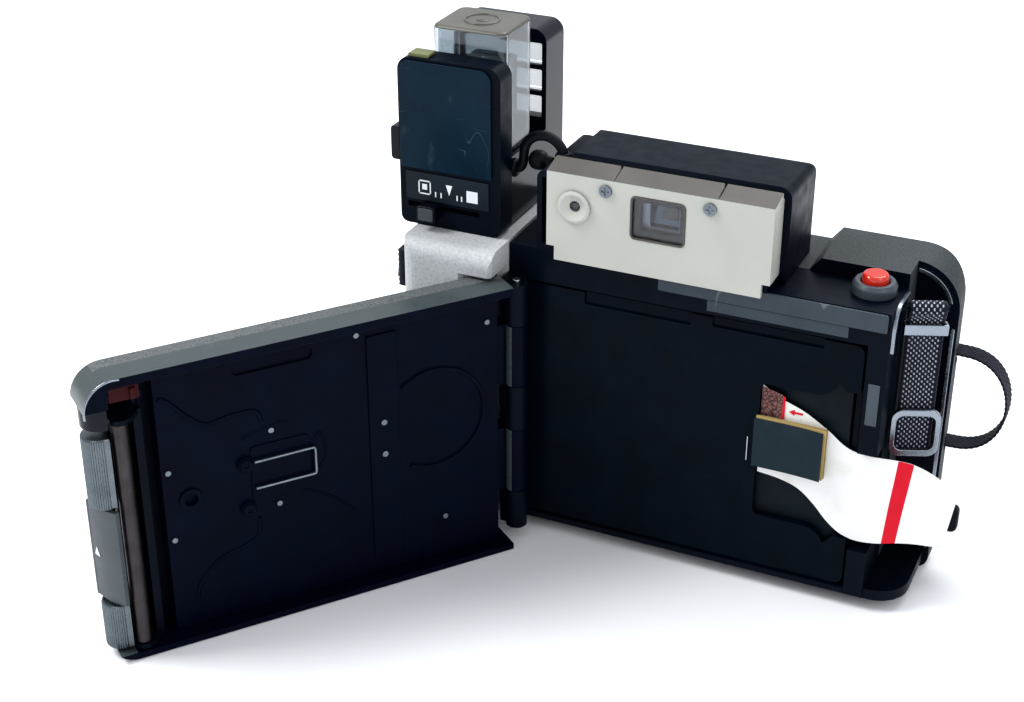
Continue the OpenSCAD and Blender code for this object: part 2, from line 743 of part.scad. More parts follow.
module flash_housing() {
    front = 27;
    wall_top = flash_top + 1.8;
    wall_back = 11;
    grille = 1.6;          // the wall's rear face, which the bars between the windows belong to
    color([0.04, 0.05, 0.08]) difference() {
        union() {
            prism_y(rr(flash_left, flash_right, flash_z, flash_top, [3, 3, 5, 5], 6), [-31, -21.4]);
            prism_y(rr(flash_left + 1, flash_right - 1, flash_z, flash_base_top, [2, 2, 0, 0], 4), [-21.5, front]);
            difference() {
                prism_y(rr(flash_left + 1, flash_right - 1, flash_z + 1, wall_top, [0, 0, 5, 5], 6), [wall_back, front]);
                prism_y(
                    rr(louver_span[0] - 0.6, louver_span[1] + 0.6, flash_base_top + 3, flash_top - 2, even(0.5), 2),
                    [wall_back + grille, front + 1]
                );
                for (i = [0:2]) {
                    rod_x(louver_y, louver_z(i), 0.65, [louver_span[0] - 1.1, louver_span[1] + 1.1]);
                    // A window in the wall's rear face for each blade
                    prism_y(rr(louver_span[0] - 0.3, louver_span[1] + 0.3, louver_z(i) - 4.1, louver_z(i) + 4.1,
                        even(0.5), 2), [wall_back - 1, wall_back + grille + 0.5]);
                }
            }
            block([-87.7, -72.3], [-5.7, 5.7], [112.4, flash_z + 1]);
        }
        // Slot for the exposure slider, and the pocket for the side catch
        block([-99, -70.5], [-32, -28.5], [flash_z + 6.6, flash_z + 8.6]);
        rod_z(cube_x, cube_y, 9.6, [flash_base_top - 3, flash_base_top + 1]);
        block([flash_left - 1, flash_left + 2.6], [-29.5, -23], [142.6, 156.4]);
    }
    color([0.5, 0.55, 0.3]) prism_y(rr(-98, -90, flash_top + 0.02, flash_top + 1.2, even(0.4), 2), [-30, -24]);
}

module flash_plate() {
    color([0.03, 0.07, 0.13]) prism_y(
        rr(flash_left + 0.8, flash_right - 3.4, flash_z + 22, flash_top - 1, [0.8, 0.8, 4, 4], 5), [-31.9, -31.02]
    );
    color([0.2, 0.22, 0.25]) prism_y(
        rr(flash_left + 2.6, flash_right - 4.6, flash_z + 9.8, flash_z + 20.4, even(0.4), 2), [-31.5, -31.02]
    );
}

module exposure_slider() {
    color([0.06, 0.06, 0.07]) {
        union() {
            block([-90.5, -88.5], [-31.7, -29], [flash_z + 6.9, flash_z + 8.3]);
            prism_y(rr(-93, -86, flash_z + 3.4, flash_z + 9.4, even(0.6), 3), [-36, -31.6]);
        }
    }
    color([0.7, 0.7, 0.72]) prism_y(rr(-92.4, -86.6, flash_z + 4, flash_z + 8.8, even(0.5), 2), [-36.4, -36.02]);
}

// One white blade of the three that dim the flash at short range
module louver(i) {
    z = louver_z(i);
    color([0.92, 0.93, 0.95]) union() {
        block(louver_span, [louver_y - 0.5, louver_y + 0.5], [z - 4.8, z + 4.8]);
        rod_x(louver_y, z, 0.6, [louver_span[0] - 0.9, louver_span[1] + 0.9]);
    }
}

// The catch on the flash unit's left side that frees it from the body
module flash_catch() {
    color([0.05, 0.05, 0.07]) union() {
        prism_y(rr(flash_left - 4.6, flash_left - 0.3, 143, 156, [1.5, 0, 0, 1.5], 4), [-29, -23.5]);
        block([flash_left - 0.5, flash_left + 0.6], [-28, -24.5], [144, 155]);
    }
}

module cube_shield() {
    top = flash_top + 9.3;
    color([0.75, 0.78, 0.8, 0.4]) difference() {
        prism_z(rr(-93.8, -65, -20.9, 4.2, even(4), 6), [flash_base_top + 0.3, top]);
        prism_z(rr(-92.6, -66.2, -19.7, 3, even(3), 5), [flash_base_top - 1, top - 1.2]);
    }
}

module flashcube() {
    color([0.85, 0.86, 0.88, 0.7]) {
        union() {
            prism_z(rr(cube_x - 8, cube_x + 8, cube_y - 8, cube_y + 8, even(2), 4), [flash_base_top + 2, flash_base_top + 32]);
            rod_z(cube_x, cube_y, 9, [flash_base_top - 2.7, flash_base_top + 2]);
        }
    }
}

// ---- Sync cord ----

function tangent(p, i) = let (
    a = p[max(i - 1, 0)], b = p[min(i + 1, len(p) - 1)], d = b - a
) d / norm(d);
function ring(c, t, r, n) = let (
    u0 = cross(t, [0, 1, 0.2]), u = u0 / norm(u0), v = cross(t, u)
) [for (k = [0:n - 1]) c + r * cos(360 * k / n) * u + r * sin(360 * k / n) * v];

module tube(p, r, n) {
    points = [for (i = [0:len(p) - 1]) each ring(p[i], tangent(p, i), r, n)];
    sides = [for (i = [0:len(p) - 2], k = [0:n - 1])
        [i * n + k, (i + 1) * n + k, (i + 1) * n + (k + 1) % n, i * n + (k + 1) % n]];
    first = [for (k = [0:n - 1]) k];
    last = [for (k = [n - 1:-1:0]) (len(p) - 1) * n + k];
    polyhedron(points, concat(sides, [first], [last]));
}

module sync_cord() {
    color([0.04, 0.04, 0.05]) tube(cord_route, cord_r, 10);
}

// Rubber reliefs where the cord leaves the flash unit and enters the viewfinder housing, and the
// spare plug's boot pushed into the housing's side
module cord_fittings() {
    color([0.04, 0.04, 0.05]) {
        translate([-62.95, -17, 142.5]) rotate([0, 90, 0]) rotate_extrude()
            polygon([[0, 0], [3.4, 0], [3.4, 0.8], [2.5, 1.6], [0, 1.6]]);
        translate([-44, -17, wing_top + 0.02]) rotate_extrude()
            polygon([[0, 0], [3, 0], [3, 0.8], [2.4, 1.8], [0, 1.8]]);
    }
    color([0.03, 0.03, 0.04]) translate([-48.02, -17, 147]) rotate([0, -90, 0]) rotate_extrude() polygon(concat(
        [[0, 0], [1.8, 0], [2, 1.4]],
        arc_pts(0.2, 5, 3.4, -58, 0, 5),
        arc_pts(0.6, 6, 3, 0, 90, 5),
        [[0, 9]]
    ));
}

front_shell();
chamber_frame();
battery_block();
battery_door();
batteries();
battery_contacts();
rear_rail();
rail_seals();
shell_trim();
tripod_bush();
hinge_pin();
viewfinder_housing();
viewfinder_cover();
viewfinder_glass();
focus_eyepiece();
viewfinder_screws();
shutter_collar();
shutter_button();
button_spring();
strap_webbing();
strap_keeper();
strap_buckle();
strap_loop();
film_pack_shell();
film_stack();
tab_pad();
paper_leader();
door_shell();
door_inner_plate();
door_spring_wire();
door_rivets();
door_grips();
door_latch();
exit_flap();
roller_frame();
roller_upper();
roller_lower();
roller_clip();
front_standard();
shutter_housing();
lens_barrel();
lens_glass();
exposure_ring();
cocking_lever();
focus_bar();
bellows();
left_strut();
right_strut();
flash_housing();
flash_plate();
exposure_slider();
louver(0);  // louver_lower
louver(1);  // louver_middle
louver(2);  // louver_upper
flash_catch();
cube_shield();
flashcube();
sync_cord();
cord_fittings();
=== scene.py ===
"""Looks of the folding instant pack-film camera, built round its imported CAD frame.

Lengths are in millimetres and are turned into metres as each mesh is made. X runs to the right as the
user sees it, Y towards the lens, Z up. A point on the film door is given as (along, inward, z), with
along measured from the hinge pin and inward towards the film.
"""

import json
import math
import random

import bmesh
import bpy
from mathutils import Matrix, Vector


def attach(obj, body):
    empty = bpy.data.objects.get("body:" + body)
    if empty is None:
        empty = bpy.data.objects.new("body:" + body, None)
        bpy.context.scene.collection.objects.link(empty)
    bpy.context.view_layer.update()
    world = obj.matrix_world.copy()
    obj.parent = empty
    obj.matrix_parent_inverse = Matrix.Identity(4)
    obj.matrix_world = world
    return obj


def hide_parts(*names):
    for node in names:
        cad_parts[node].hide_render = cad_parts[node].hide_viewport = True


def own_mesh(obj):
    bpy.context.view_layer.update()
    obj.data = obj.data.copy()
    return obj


MM = 0.001
HINGE = Vector((-52.6, -38.0, 0.0))
DOOR_ALONG = Vector((math.cos(math.radians(-128)), math.sin(math.radians(-128)), 0))
DOOR_INWARD = Vector((-DOOR_ALONG.y, DOOR_ALONG.x, 0))
NEARLY_INWARD = tuple(DOOR_INWARD + Vector((0, 0, 0.01)))  # never parallel to a level tube
STRAP_MIDDLE = Vector((88.0, -12.0, 0.0))
STRAP_ACROSS = Vector((math.cos(math.radians(22)), math.sin(math.radians(22)), 0))
STRAP_FACING = Vector((-STRAP_ACROSS.y, STRAP_ACROSS.x, 0))
OPTIC = Vector((5.0, 0.0, 50.0))
CUBE = Vector((-77.5, -8.5, 0.0))
FLASH_BASE_TOP = 147.3
FLASH_TAB_BOTTOM = 183.31
BUTTON = Vector((70.0, -15.2, 0.0))
SYNC_ROUTE = [
    (-62.9, -17, 142.5), (-61.2, -17, 142.8), (-60, -17, 144), (-59.4, -17, 146), (-59.2, -17, 148.5),
    (-58.8, -17, 151), (-57.6, -17, 153.4), (-55.6, -17, 155.2), (-53, -17, 156.2), (-50.2, -17, 156.3),
    (-47.6, -17, 155.4), (-45.6, -17, 153.8), (-44.3, -17, 151.8), (-44, -17, 149.8),
]

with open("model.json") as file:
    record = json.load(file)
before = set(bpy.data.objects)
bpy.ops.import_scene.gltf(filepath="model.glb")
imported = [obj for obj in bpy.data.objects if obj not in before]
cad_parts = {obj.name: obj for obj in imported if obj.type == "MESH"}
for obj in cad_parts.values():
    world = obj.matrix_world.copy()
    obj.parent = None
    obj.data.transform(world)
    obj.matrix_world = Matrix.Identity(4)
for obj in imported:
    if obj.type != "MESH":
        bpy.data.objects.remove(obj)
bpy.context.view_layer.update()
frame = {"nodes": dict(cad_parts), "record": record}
BODY_OF = {n: b for b, names in frame["record"]["behaviour"]["bodies"].items() for n in names}
random.seed(7)


# ---- Materials ----


class Surface:
    """A Principled material with procedural detail in object space; sizes are in millimetres."""

    def __init__(self, name, **inputs):
        self.material = bpy.data.materials.new(name)
        self.material.use_nodes = True
        self.nodes = self.material.node_tree.nodes
        self.links = self.material.node_tree.links
        self.shader = self.nodes["Principled BSDF"]
        self.position = self.nodes.new("ShaderNodeTexCoord").outputs["Object"]
        for socket, value in inputs.items():
            self.shader.inputs[socket.replace("_", " ")].default_value = value

    def scaled(self, size, stretch, turn):
        mapping = self.nodes.new("ShaderNodeMapping")
        mapping.inputs["Rotation"].default_value = turn
        mapping.inputs["Scale"].default_value = [1 / (MM * size * s) for s in stretch]
        self.links.new(self.position, mapping.inputs["Vector"])
        return mapping.outputs["Vector"]

    def noise(self, size, detail=3.0, stretch=(1, 1, 1), turn=(0, 0, 0)):
        texture = self.nodes.new("ShaderNodeTexNoise")
        texture.inputs["Scale"].default_value = 1.0
        texture.inputs["Detail"].default_value = detail
        self.links.new(self.scaled(size, stretch, turn), texture.inputs["Vector"])
        return texture.outputs["Fac"]

    def cells(self, size, stretch=(1, 1, 1), feature="F1"):
        texture = self.nodes.new("ShaderNodeTexVoronoi")
        texture.feature = feature
        texture.inputs["Scale"].default_value = 1.0
        self.links.new(self.scaled(size, stretch, (0, 0, 0)), texture.inputs["Vector"])
        return texture.outputs["Distance"]

    def math(self, operation, first, second=0.0):
        node = self.nodes.new("ShaderNodeMath")
        node.operation = operation
        for socket, value in zip(node.inputs, (first, second)):
            if isinstance(value, (int, float)):
                socket.default_value = value
            else:
                self.links.new(value, socket)
        return node.outputs[0]

    def spread(self, value, low, high, to_low, to_high):
        node = self.nodes.new("ShaderNodeMapRange")
        self.links.new(value, node.inputs["Value"])
        for socket, number in zip(list(node.inputs)[1:5], (low, high, to_low, to_high)):
            socket.default_value = number
        return node.outputs["Result"]

    def ramp(self, value, stops):
        node = self.nodes.new("ShaderNodeValToRGB")
        elements = node.color_ramp.elements
        elements[0].position, elements[1].position = stops[0][0], stops[-1][0]
        elements[0].color, elements[1].color = (*stops[0][1], 1), (*stops[-1][1], 1)
        for place, colour in stops[1:-1]:
            elements.new(place).color = (*colour, 1)
        self.links.new(value, node.inputs["Fac"])
        return node.outputs["Color"]

    def mix(self, factor, first, second):
        node = self.nodes.new("ShaderNodeMix")
        node.data_type = "RGBA"
        self.links.new(factor, node.inputs["Factor"])
        for socket, value in ((node.inputs["A"], first), (node.inputs["B"], second)):
            if isinstance(value, tuple):
                socket.default_value = (*value, 1)
            else:
                self.links.new(value, socket)
        return node.outputs["Result"]

    def hairlines(self, size, width, stretch, turn):
        """Thin curved scratches, kept to patches."""
        field = self.noise(size, 1.0, stretch, turn)
        distance = self.math("ABSOLUTE", self.math("SUBTRACT", field, 0.5))
        line = self.spread(distance, 0.0, width, 1.0, 0.0)
        patch = self.spread(self.noise(size * 1.7, 2.0), 0.5, 0.62, 0.0, 1.0)
        return self.math("MULTIPLY", line, patch)

    def colour(self, output):
        self.links.new(output, self.shader.inputs["Base Color"])

    def roughness(self, output):
        self.links.new(output, self.shader.inputs["Roughness"])

    def bump(self, height, depth):
        node = self.nodes.new("ShaderNodeBump")
        node.inputs["Distance"].default_value = depth * MM
        self.links.new(height, node.inputs["Height"])
        self.links.new(node.outputs["Normal"], self.shader.inputs["Normal"])


def shade(colour, factor):
    return tuple(min(1.0, c * factor) for c in colour)


def plastic(
    name, colour, rough=0.45, specular=0.4, mottle=0.14, grain=0.3, depth=0.012, scuffs=0.0, coat=0.0
):
    s = Surface(name, Specular_IOR_Level=specular, Coat_Weight=coat, Coat_Roughness=0.08)
    base = s.ramp(s.noise(14, 5), [(0.3, shade(colour, 1 - mottle)), (0.7, shade(colour, 1 + mottle))])
    if scuffs:
        lines = s.math("MULTIPLY", s.hairlines(16, 0.006, (1, 1, 3), (0.3, 0.5, 0.2)), scuffs)
        base = s.mix(lines, base, shade(tuple(c + 0.12 for c in colour), 1.6))
    s.colour(base)
    s.roughness(s.spread(s.noise(5, 4), 0.3, 0.7, rough * 0.82, min(1, rough * 1.2)))
    s.bump(s.noise(grain, 2), depth)
    return s.material


def leatherette(name, colour, rough=0.58, pebble=1.1, depth=0.11, crevice=0.55):
    s = Surface(name, Specular_IOR_Level=0.4)
    pebbles = s.cells(pebble)
    tone = s.ramp(pebbles, [(0.15, shade(colour, 1.1)), (0.85, shade(colour, crevice))])
    s.colour(s.mix(s.spread(s.noise(22, 4), 0.35, 0.65, 0.0, 0.35), tone, shade(colour, 0.78)))
    s.roughness(s.spread(pebbles, 0.1, 0.8, rough * 0.85, min(1, rough * 1.25)))
    height = s.math("SUBTRACT", s.math("MULTIPLY", s.noise(0.35, 2), 0.3), pebbles)
    s.bump(height, depth)
    return s.material


def metal(name, colour, rough=0.28, stretch=(1, 1, 14), depth=0.004, tarnish=0.25):
    s = Surface(name, Metallic=1.0)
    s.colour(s.ramp(s.noise(7, 5), [(0.3, shade(colour, 1 - tarnish)), (0.65, colour)]))
    s.roughness(s.spread(s.noise(0.5, 3, stretch), 0.25, 0.75, rough * 0.7, rough * 1.4))
    s.bump(s.noise(0.3, 2, stretch), depth)
    return s.material


def clear(name, tint=(0.95, 0.97, 1.0), rough=0.04, ior=1.49, depth=0.004):
    s = Surface(name, Transmission_Weight=1.0, IOR=ior)
    s.colour(s.ramp(s.noise(9, 3), [(0.3, shade(tint, 0.93)), (0.7, tint)]))
    s.roughness(s.spread(s.noise(6, 4), 0.35, 0.75, rough, rough * 2.5))
    s.bump(s.noise(2.5, 2), depth)
    return s.material


def cloth(name, colour, thread=0.32, depth=0.05, sheen=0.3):
    s = Surface(name, Specular_IOR_Level=0.25, Sheen_Weight=sheen, Sheen_Roughness=0.5)
    fibres = s.noise(thread, 3, (1, 1, 5))
    s.colour(s.ramp(fibres, [(0.3, shade(colour, 0.65)), (0.7, shade(colour, 1.35))]))
    s.roughness(s.spread(s.noise(3, 3), 0.3, 0.7, 0.68, 0.9))
    s.bump(fibres, depth)
    return s.material


def paper(name, colour, stain, depth=0.015):
    s = Surface(name, Specular_IOR_Level=0.2)
    stained = s.spread(s.noise(13, 4), 0.5, 0.72, 0.0, 0.55)
    s.colour(s.mix(stained, colour, stain))
    s.roughness(s.spread(s.noise(4, 3), 0.3, 0.7, 0.62, 0.82))
    s.bump(s.noise(0.35, 4), depth)
    return s.material


def scratched_plate():
    """Blue-black glossy plate with fine scratches and a dull rubbed smear."""
    s = Surface("flash_plate_gloss", Specular_IOR_Level=0.14)
    base = s.ramp(s.noise(20, 5), [(0.3, (0.001, 0.0115, 0.0235)), (0.7, (0.0015, 0.019, 0.037))])
    steep = s.hairlines(11, 0.004, (1.6, 1, 1), (0.0, 0.5, 0.0))
    level = s.hairlines(17, 0.002, (1, 1, 1.5), (0.0, 0.9, 0.0))
    lines = s.math("MAXIMUM", steep, level)
    smear = s.spread(s.noise(8, 8, (1, 1, 2.2), (0, 0.6, 0)), 0.62, 0.76, 0.0, 0.2)
    s.colour(s.mix(s.math("MAXIMUM", s.math("MULTIPLY", lines, 0.6), smear), base, (0.13, 0.21, 0.24)))
    s.roughness(s.spread(s.math("MAXIMUM", lines, smear), 0.0, 0.5, 0.22, 0.5))
    s.bump(s.math("SUBTRACT", s.noise(0.8, 2), lines), 0.006)
    return s.material


def honeycomb_print():
    s = Surface("honeycomb_print", Specular_IOR_Level=0.2)
    edge = s.cells(1.5, feature="DISTANCE_TO_EDGE")
    s.colour(s.ramp(edge, [(0.04, (0.045, 0.02, 0.02)), (0.14, (0.2, 0.1, 0.09))]))
    s.roughness(s.spread(s.noise(2, 3), 0.3, 0.7, 0.5, 0.7))
    s.bump(edge, 0.02)
    return s.material


def glowing_white():
    """White blades; a faint glow stands in for the light that thin white plastic lets through."""
    s = Surface("louver_white", Specular_IOR_Level=0.3, Emission_Strength=0.55)
    s.shader.inputs["Emission Color"].default_value = (0.85, 0.88, 0.9, 1)
    s.colour(s.ramp(s.noise(6, 4), [(0.3, (0.74, 0.76, 0.79)), (0.7, (0.82, 0.84, 0.86))]))
    s.roughness(s.spread(s.noise(3, 3), 0.3, 0.7, 0.4, 0.55))
    return s.material


NAVY = (0.0004, 0.0034, 0.0095)
LOOKS = {
    "black": plastic("black_satin", NAVY, rough=0.4, specular=0.1),
    "black_gloss": plastic("black_gloss", (0.001, 0.003, 0.0095), rough=0.16, specular=0.25, depth=0.003),
    "black_matt": plastic("black_matt", (0.004, 0.007, 0.013), rough=0.6, specular=0.12),
    "pack": plastic("pack_black", (0.0002, 0.0036, 0.009), rough=0.32, specular=0.08, mottle=0.3),
    "door_black": plastic("door_black", (0.0001, 0.0024, 0.0115), rough=0.38, specular=0.07, mottle=0.25),
    "shell": leatherette("shell_leatherette", (0.03, 0.038, 0.042), crevice=0.8, pebble=0.55, depth=0.05),
    "block": leatherette("block_leatherette", (0.46, 0.475, 0.49), rough=0.5, depth=0.06, crevice=0.86),
    "door_skin": leatherette("door_leatherette", (0.115, 0.127, 0.132), pebble=0.7, depth=0.05),
    "lip": plastic("door_lip_grey", (0.05, 0.063, 0.067), rough=0.3, mottle=0.04, scuffs=0.04),
    "rail": plastic("rail_grey", (0.034, 0.048, 0.062), rough=0.38, specular=0.35, scuffs=0.5),
    "seal": plastic("seal_foam", (0.08, 0.095, 0.112), rough=0.9, specular=0.1, grain=0.8, depth=0.12),
    "collar": plastic("collar_grey", (0.05, 0.06, 0.07), rough=0.35, scuffs=0.2),
    "beige": plastic("finder_beige", (0.45, 0.455, 0.415), rough=0.34, mottle=0.03, grain=0.5, depth=0.006),
    "taupe": plastic("finder_bevel_taupe", (0.085, 0.08, 0.072), rough=0.4, specular=0.4),
    "red": plastic("button_red", (0.5, 0.022, 0.008), rough=0.12, mottle=0.08, coat=0.5, depth=0.002),
    "clip_red": plastic("clip_red", (0.042, 0.003, 0.005), rough=0.4, specular=0.15),
    "grip": metal("grip_silver", (0.16, 0.185, 0.2), rough=0.3, stretch=(1, 1, 1)),
    "flap": plastic("flap_grey", (0.048, 0.06, 0.068), rough=0.3, specular=0.4),
    "steel": metal("bright_steel", (0.5, 0.53, 0.57), rough=0.22),
    "dull_steel": metal("dull_steel", (0.22, 0.25, 0.28), rough=0.38),
    "trim": metal("bright_trim", (0.3, 0.335, 0.38), rough=0.27, tarnish=0.15, stretch=(1, 1, 1)),
    "roller": metal("roller_steel", (0.075, 0.067, 0.07), rough=0.42, stretch=(1, 1, 30)),
    "glass": clear("window_glass", rough=0.02, ior=1.45, depth=0.001),
    "lens": clear("coated_lens", (0.6, 0.66, 0.95), rough=0.01, ior=1.6, depth=0.0),
    "clear": clear("clear_plastic", (0.52, 0.57, 0.6), rough=0.04),
    "frosted": plastic("frosted_plastic", (0.085, 0.084, 0.07), rough=0.3, specular=0.4, depth=0.01),
    "foil": metal("cube_foil", (0.1, 0.125, 0.16), rough=0.14, stretch=(1, 1, 1), depth=0.02, tarnish=0.1),
    "bulb": clear("bulb_blue", (0.5, 0.68, 0.9), rough=0.03, ior=1.5),
    "mark": plastic("mark_white", (0.7, 0.72, 0.74), rough=0.5, mottle=0.05),
    "label": plastic("label_grey", (0.008, 0.015, 0.022), rough=0.4, specular=0.2),
    "plate": scratched_plate(),
    "grey_panel": plastic("shutter_panel", (0.32, 0.33, 0.34), rough=0.34, scuffs=0.15, mottle=0.05),
    "ring": metal("ring_aluminium", (0.55, 0.56, 0.58), rough=0.3, stretch=(1, 1, 1)),
    "eye_cell": plastic("eye_cell", (0.02, 0.035, 0.09), rough=0.12, coat=0.6),
    "rubber": plastic("cord_rubber", (0.004, 0.006, 0.01), rough=0.5, specular=0.2, grain=0.2),
    "bellows": cloth("bellows_cloth", (0.008, 0.009, 0.012)),
    "yarn": cloth("black_yarn", (0.0055, 0.0065, 0.016), sheen=0.1),
    "fleck": cloth("white_yarn", (0.36, 0.39, 0.45), sheen=0.1),
    "paper": paper("leader_paper", (0.8, 0.8, 0.8), (0.62, 0.60, 0.5)),
    "red_band": paper("band_red", (0.62, 0.012, 0.03), (0.5, 0.012, 0.03)),
    "tan": paper("tab_paper", (0.4, 0.3, 0.13), (0.3, 0.22, 0.09)),
    "card": paper("pad_card", (0.014, 0.027, 0.036), (0.028, 0.044, 0.055), 0.04),
    "honeycomb": honeycomb_print(),
    "film": plastic("film_sheets", (0.004, 0.009, 0.014), rough=0.5, specular=0.15),
    "wrap": plastic("cell_wrap", (0.05, 0.12, 0.3), rough=0.25, coat=0.4),
    "olive": plastic("tab_olive", (0.13, 0.145, 0.06), rough=0.4),
    "louver": glowing_white(),
}


# ---- Mesh helpers ----


def new_object(name, mesh, looks, body, stands_for=()):
    for look in looks:
        mesh.materials.append(LOOKS[look])
    obj = bpy.data.objects.new(name, mesh)
    bpy.context.scene.collection.objects.link(obj)
    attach(obj, body)
    if stands_for:
        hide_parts(*stands_for)
    return obj


def smooth(mesh, sharp=52):
    mesh.polygons.foreach_set("use_smooth", [True] * len(mesh.polygons))
    mesh.set_sharp_from_angle(angle=math.radians(sharp))


def weigh_normals(obj):
    modifier = obj.modifiers.new("weighted", "WEIGHTED_NORMAL")
    modifier.keep_sharp = True


def mesh_from(name, points, faces, indices=None, sharp=52):
    mesh = bpy.data.meshes.new(name)
    mesh.from_pydata([Vector(p) * MM for p in points], [], faces)
    if indices:
        mesh.polygons.foreach_set("material_index", indices)
    smooth(mesh, sharp)
    return mesh


def bevel_sharp(bm, width, segments, test=None, angle=33):
    """Rounds the edges between faces that meet at more than the angle, where the test allows."""
    edges = []
    for edge in bm.edges:
        if len(edge.link_faces) == 2 and edge.calc_face_angle(0) > math.radians(angle):
            if test is None or all(test(v.co / MM) for v in edge.verts):
                edges.append(edge)
    if edges and width:
        bmesh.ops.bevel(bm, geom=edges, offset=width * MM, segments=segments, profile=0.5,
                        affect="EDGES", clamp_overlap=True)


def refined(node, looks, bevel=0.25, soften=None, rule=None, cuts=(), segments=2):
    """A finer copy of a CAD node: rounded edges, and a look for each face by a rule of place and normal."""
    bm = bmesh.new()
    bm.from_mesh(frame["nodes"][node].data)
    bmesh.ops.remove_doubles(bm, verts=bm.verts, dist=2e-6)
    bmesh.ops.dissolve_limit(bm, angle_limit=math.radians(0.5), verts=bm.verts, edges=bm.edges)
    if soften:
        test, width = soften
        bevel_sharp(bm, width, 5, test)
    bevel_sharp(bm, bevel, segments)
    for point, normal in cuts:
        geometry = bm.verts[:] + bm.edges[:] + bm.faces[:]
        bmesh.ops.bisect_plane(bm, geom=geometry, dist=1e-6, plane_co=Vector(point) * MM, plane_no=normal)
    mesh = bpy.data.meshes.new(node + "_fine")
    bm.normal_update()
    for face in bm.faces:
        face.material_index = rule(face.calc_center_median() / MM, face.normal) if rule else 0
    bm.to_mesh(mesh)
    bm.free()
    if "custom_normal" in mesh.attributes:
        mesh.attributes.remove(mesh.attributes["custom_normal"])
    smooth(mesh)
    obj = new_object(node + "_fine", mesh, looks, BODY_OF[node], (node,))
    weigh_normals(obj)
    return obj


def curve_through(points, steps=6):
    """Points of a smooth Catmull-Rom curve through the given ones."""
    pts = [Vector(p) for p in points]
    ends = [2 * pts[0] - pts[1]] + pts + [2 * pts[-1] - pts[-2]]
    result = []
    for i in range(1, len(ends) - 2):
        a, b, c, d = ends[i - 1:i + 3]
        for k in range(steps):
            t = k / steps
            result.append(0.5 * ((2 * b) + (c - a) * t + (2 * a - 5 * b + 4 * c - d) * t * t
                                 + (3 * b - a - 3 * c + d) * t ** 3))
    return result + [pts[-1]]


def tangents(points, closed=False):
    count = len(points)
    result = []
    for i in range(count):
        before = points[(i - 1) % count] if closed else points[max(i - 1, 0)]
        after = points[(i + 1) % count] if closed else points[min(i + 1, count - 1)]
        result.append((after - before).normalized())
    return result


def tube_mesh(name, points, radius, sides=12, closed=False, up=(0.0, 1.0, 0.2)):
    pts = [Vector(p) for p in points]
    verts, faces = [], []
    for centre, along in zip(pts, tangents(pts, closed)):
        side = along.cross(Vector(up)).normalized()
        other = along.cross(side)
        for k in range(sides):
            a = 2 * math.pi * k / sides
            verts.append(centre + radius * (math.cos(a) * side + math.sin(a) * other))
    rings = len(pts)
    for i in range(rings if closed else rings - 1):
        j = (i + 1) % rings
        for k in range(sides):
            n = (k + 1) % sides
            faces.append((i * sides + k, j * sides + k, j * sides + n, i * sides + n))
    if not closed:
        faces.append(tuple(range(sides)))
        faces.append(tuple((rings - 1) * sides + k for k in reversed(range(sides))))
    return mesh_from(name, verts, faces)


def tube(name, points, radius, look, body, sides=12, closed=False, stands_for=(), up=(0.0, 1.0, 0.2)):
    mesh = tube_mesh(name, points, radius, sides, closed, up)
    return new_object(name, mesh, [look], body, stands_for)


def plate(name, outline, thickness, look, body, rounding=0.0, stands_for=()):
    """A flat plate: the outline's points in order, and a thickness vector that it is extruded along."""
    count = len(outline)
    low = [Vector(p) for p in outline]
    high = [p + Vector(thickness) for p in low]
    faces = [tuple(range(count)), tuple(range(2 * count - 1, count - 1, -1))]
    faces += [(k, k + count, (k + 1) % count + count, (k + 1) % count) for k in range(count)]
    bm = bmesh.new()
    corners = [bm.verts.new(p * MM) for p in low + high]
    for face in faces:
        bm.faces.new([corners[k] for k in face])
    bmesh.ops.recalc_face_normals(bm, faces=bm.faces)
    bevel_sharp(bm, rounding, 3)
    mesh = bpy.data.meshes.new(name)
    bm.to_mesh(mesh)
    bm.free()
    smooth(mesh)
    obj = new_object(name, mesh, [look], body, stands_for)
    weigh_normals(obj)
    return obj


def lathe(name, profile, centre, axis, look, body, sides=48, stands_for=()):
    """Turns (radius, height) points about an axis through the centre."""
    turn = Vector((0, 0, 1)).rotation_difference(Vector(axis)).to_matrix()
    verts, faces = [], []
    for radius, height in profile:
        for k in range(sides):
            a = 2 * math.pi * k / sides
            spot = Vector((radius * math.cos(a), radius * math.sin(a), height))
            verts.append(Vector(centre) + turn @ spot)
    for i in range(len(profile) - 1):
        for k in range(sides):
            n = (k + 1) % sides
            faces.append((i * sides + k, i * sides + n, (i + 1) * sides + n, (i + 1) * sides + k))
    faces.append(tuple(reversed(range(sides))))
    faces.append(tuple((len(profile) - 1) * sides + k for k in range(sides)))
    return new_object(name, mesh_from(name, verts, faces, sharp=40), [look], body, stands_for)


def arc(centre_a, centre_b, radius, start, end, count):
    angles = [math.radians(start + (end - start) * k / count) for k in range(count + 1)]
    return [(centre_a + radius * math.cos(a), centre_b + radius * math.sin(a)) for a in angles]


def rounded(low_a, high_a, low_b, high_b, radius, count=5):
    corners = [(high_a - radius, high_b - radius, 0), (low_a + radius, high_b - radius, 90),
               (low_a + radius, low_b + radius, 180), (high_a - radius, low_b + radius, 270)]
    return [p for a, b, start in corners for p in arc(a, b, radius, start, start + 90, count)]


def door_point(along, inward, z):
    return HINGE + DOOR_ALONG * along + DOOR_INWARD * inward + Vector((0, 0, z))


def on_door(point):
    """(along, inward, z) of a place given in the row frame."""
    away = point - HINGE
    return away.dot(DOOR_ALONG), away.dot(DOOR_INWARD), point.z


def strap_point(across, facing, z):
    return STRAP_MIDDLE + STRAP_ACROSS * across + STRAP_FACING * facing + Vector((0, 0, z))


# ---- Soft and woven pieces ----


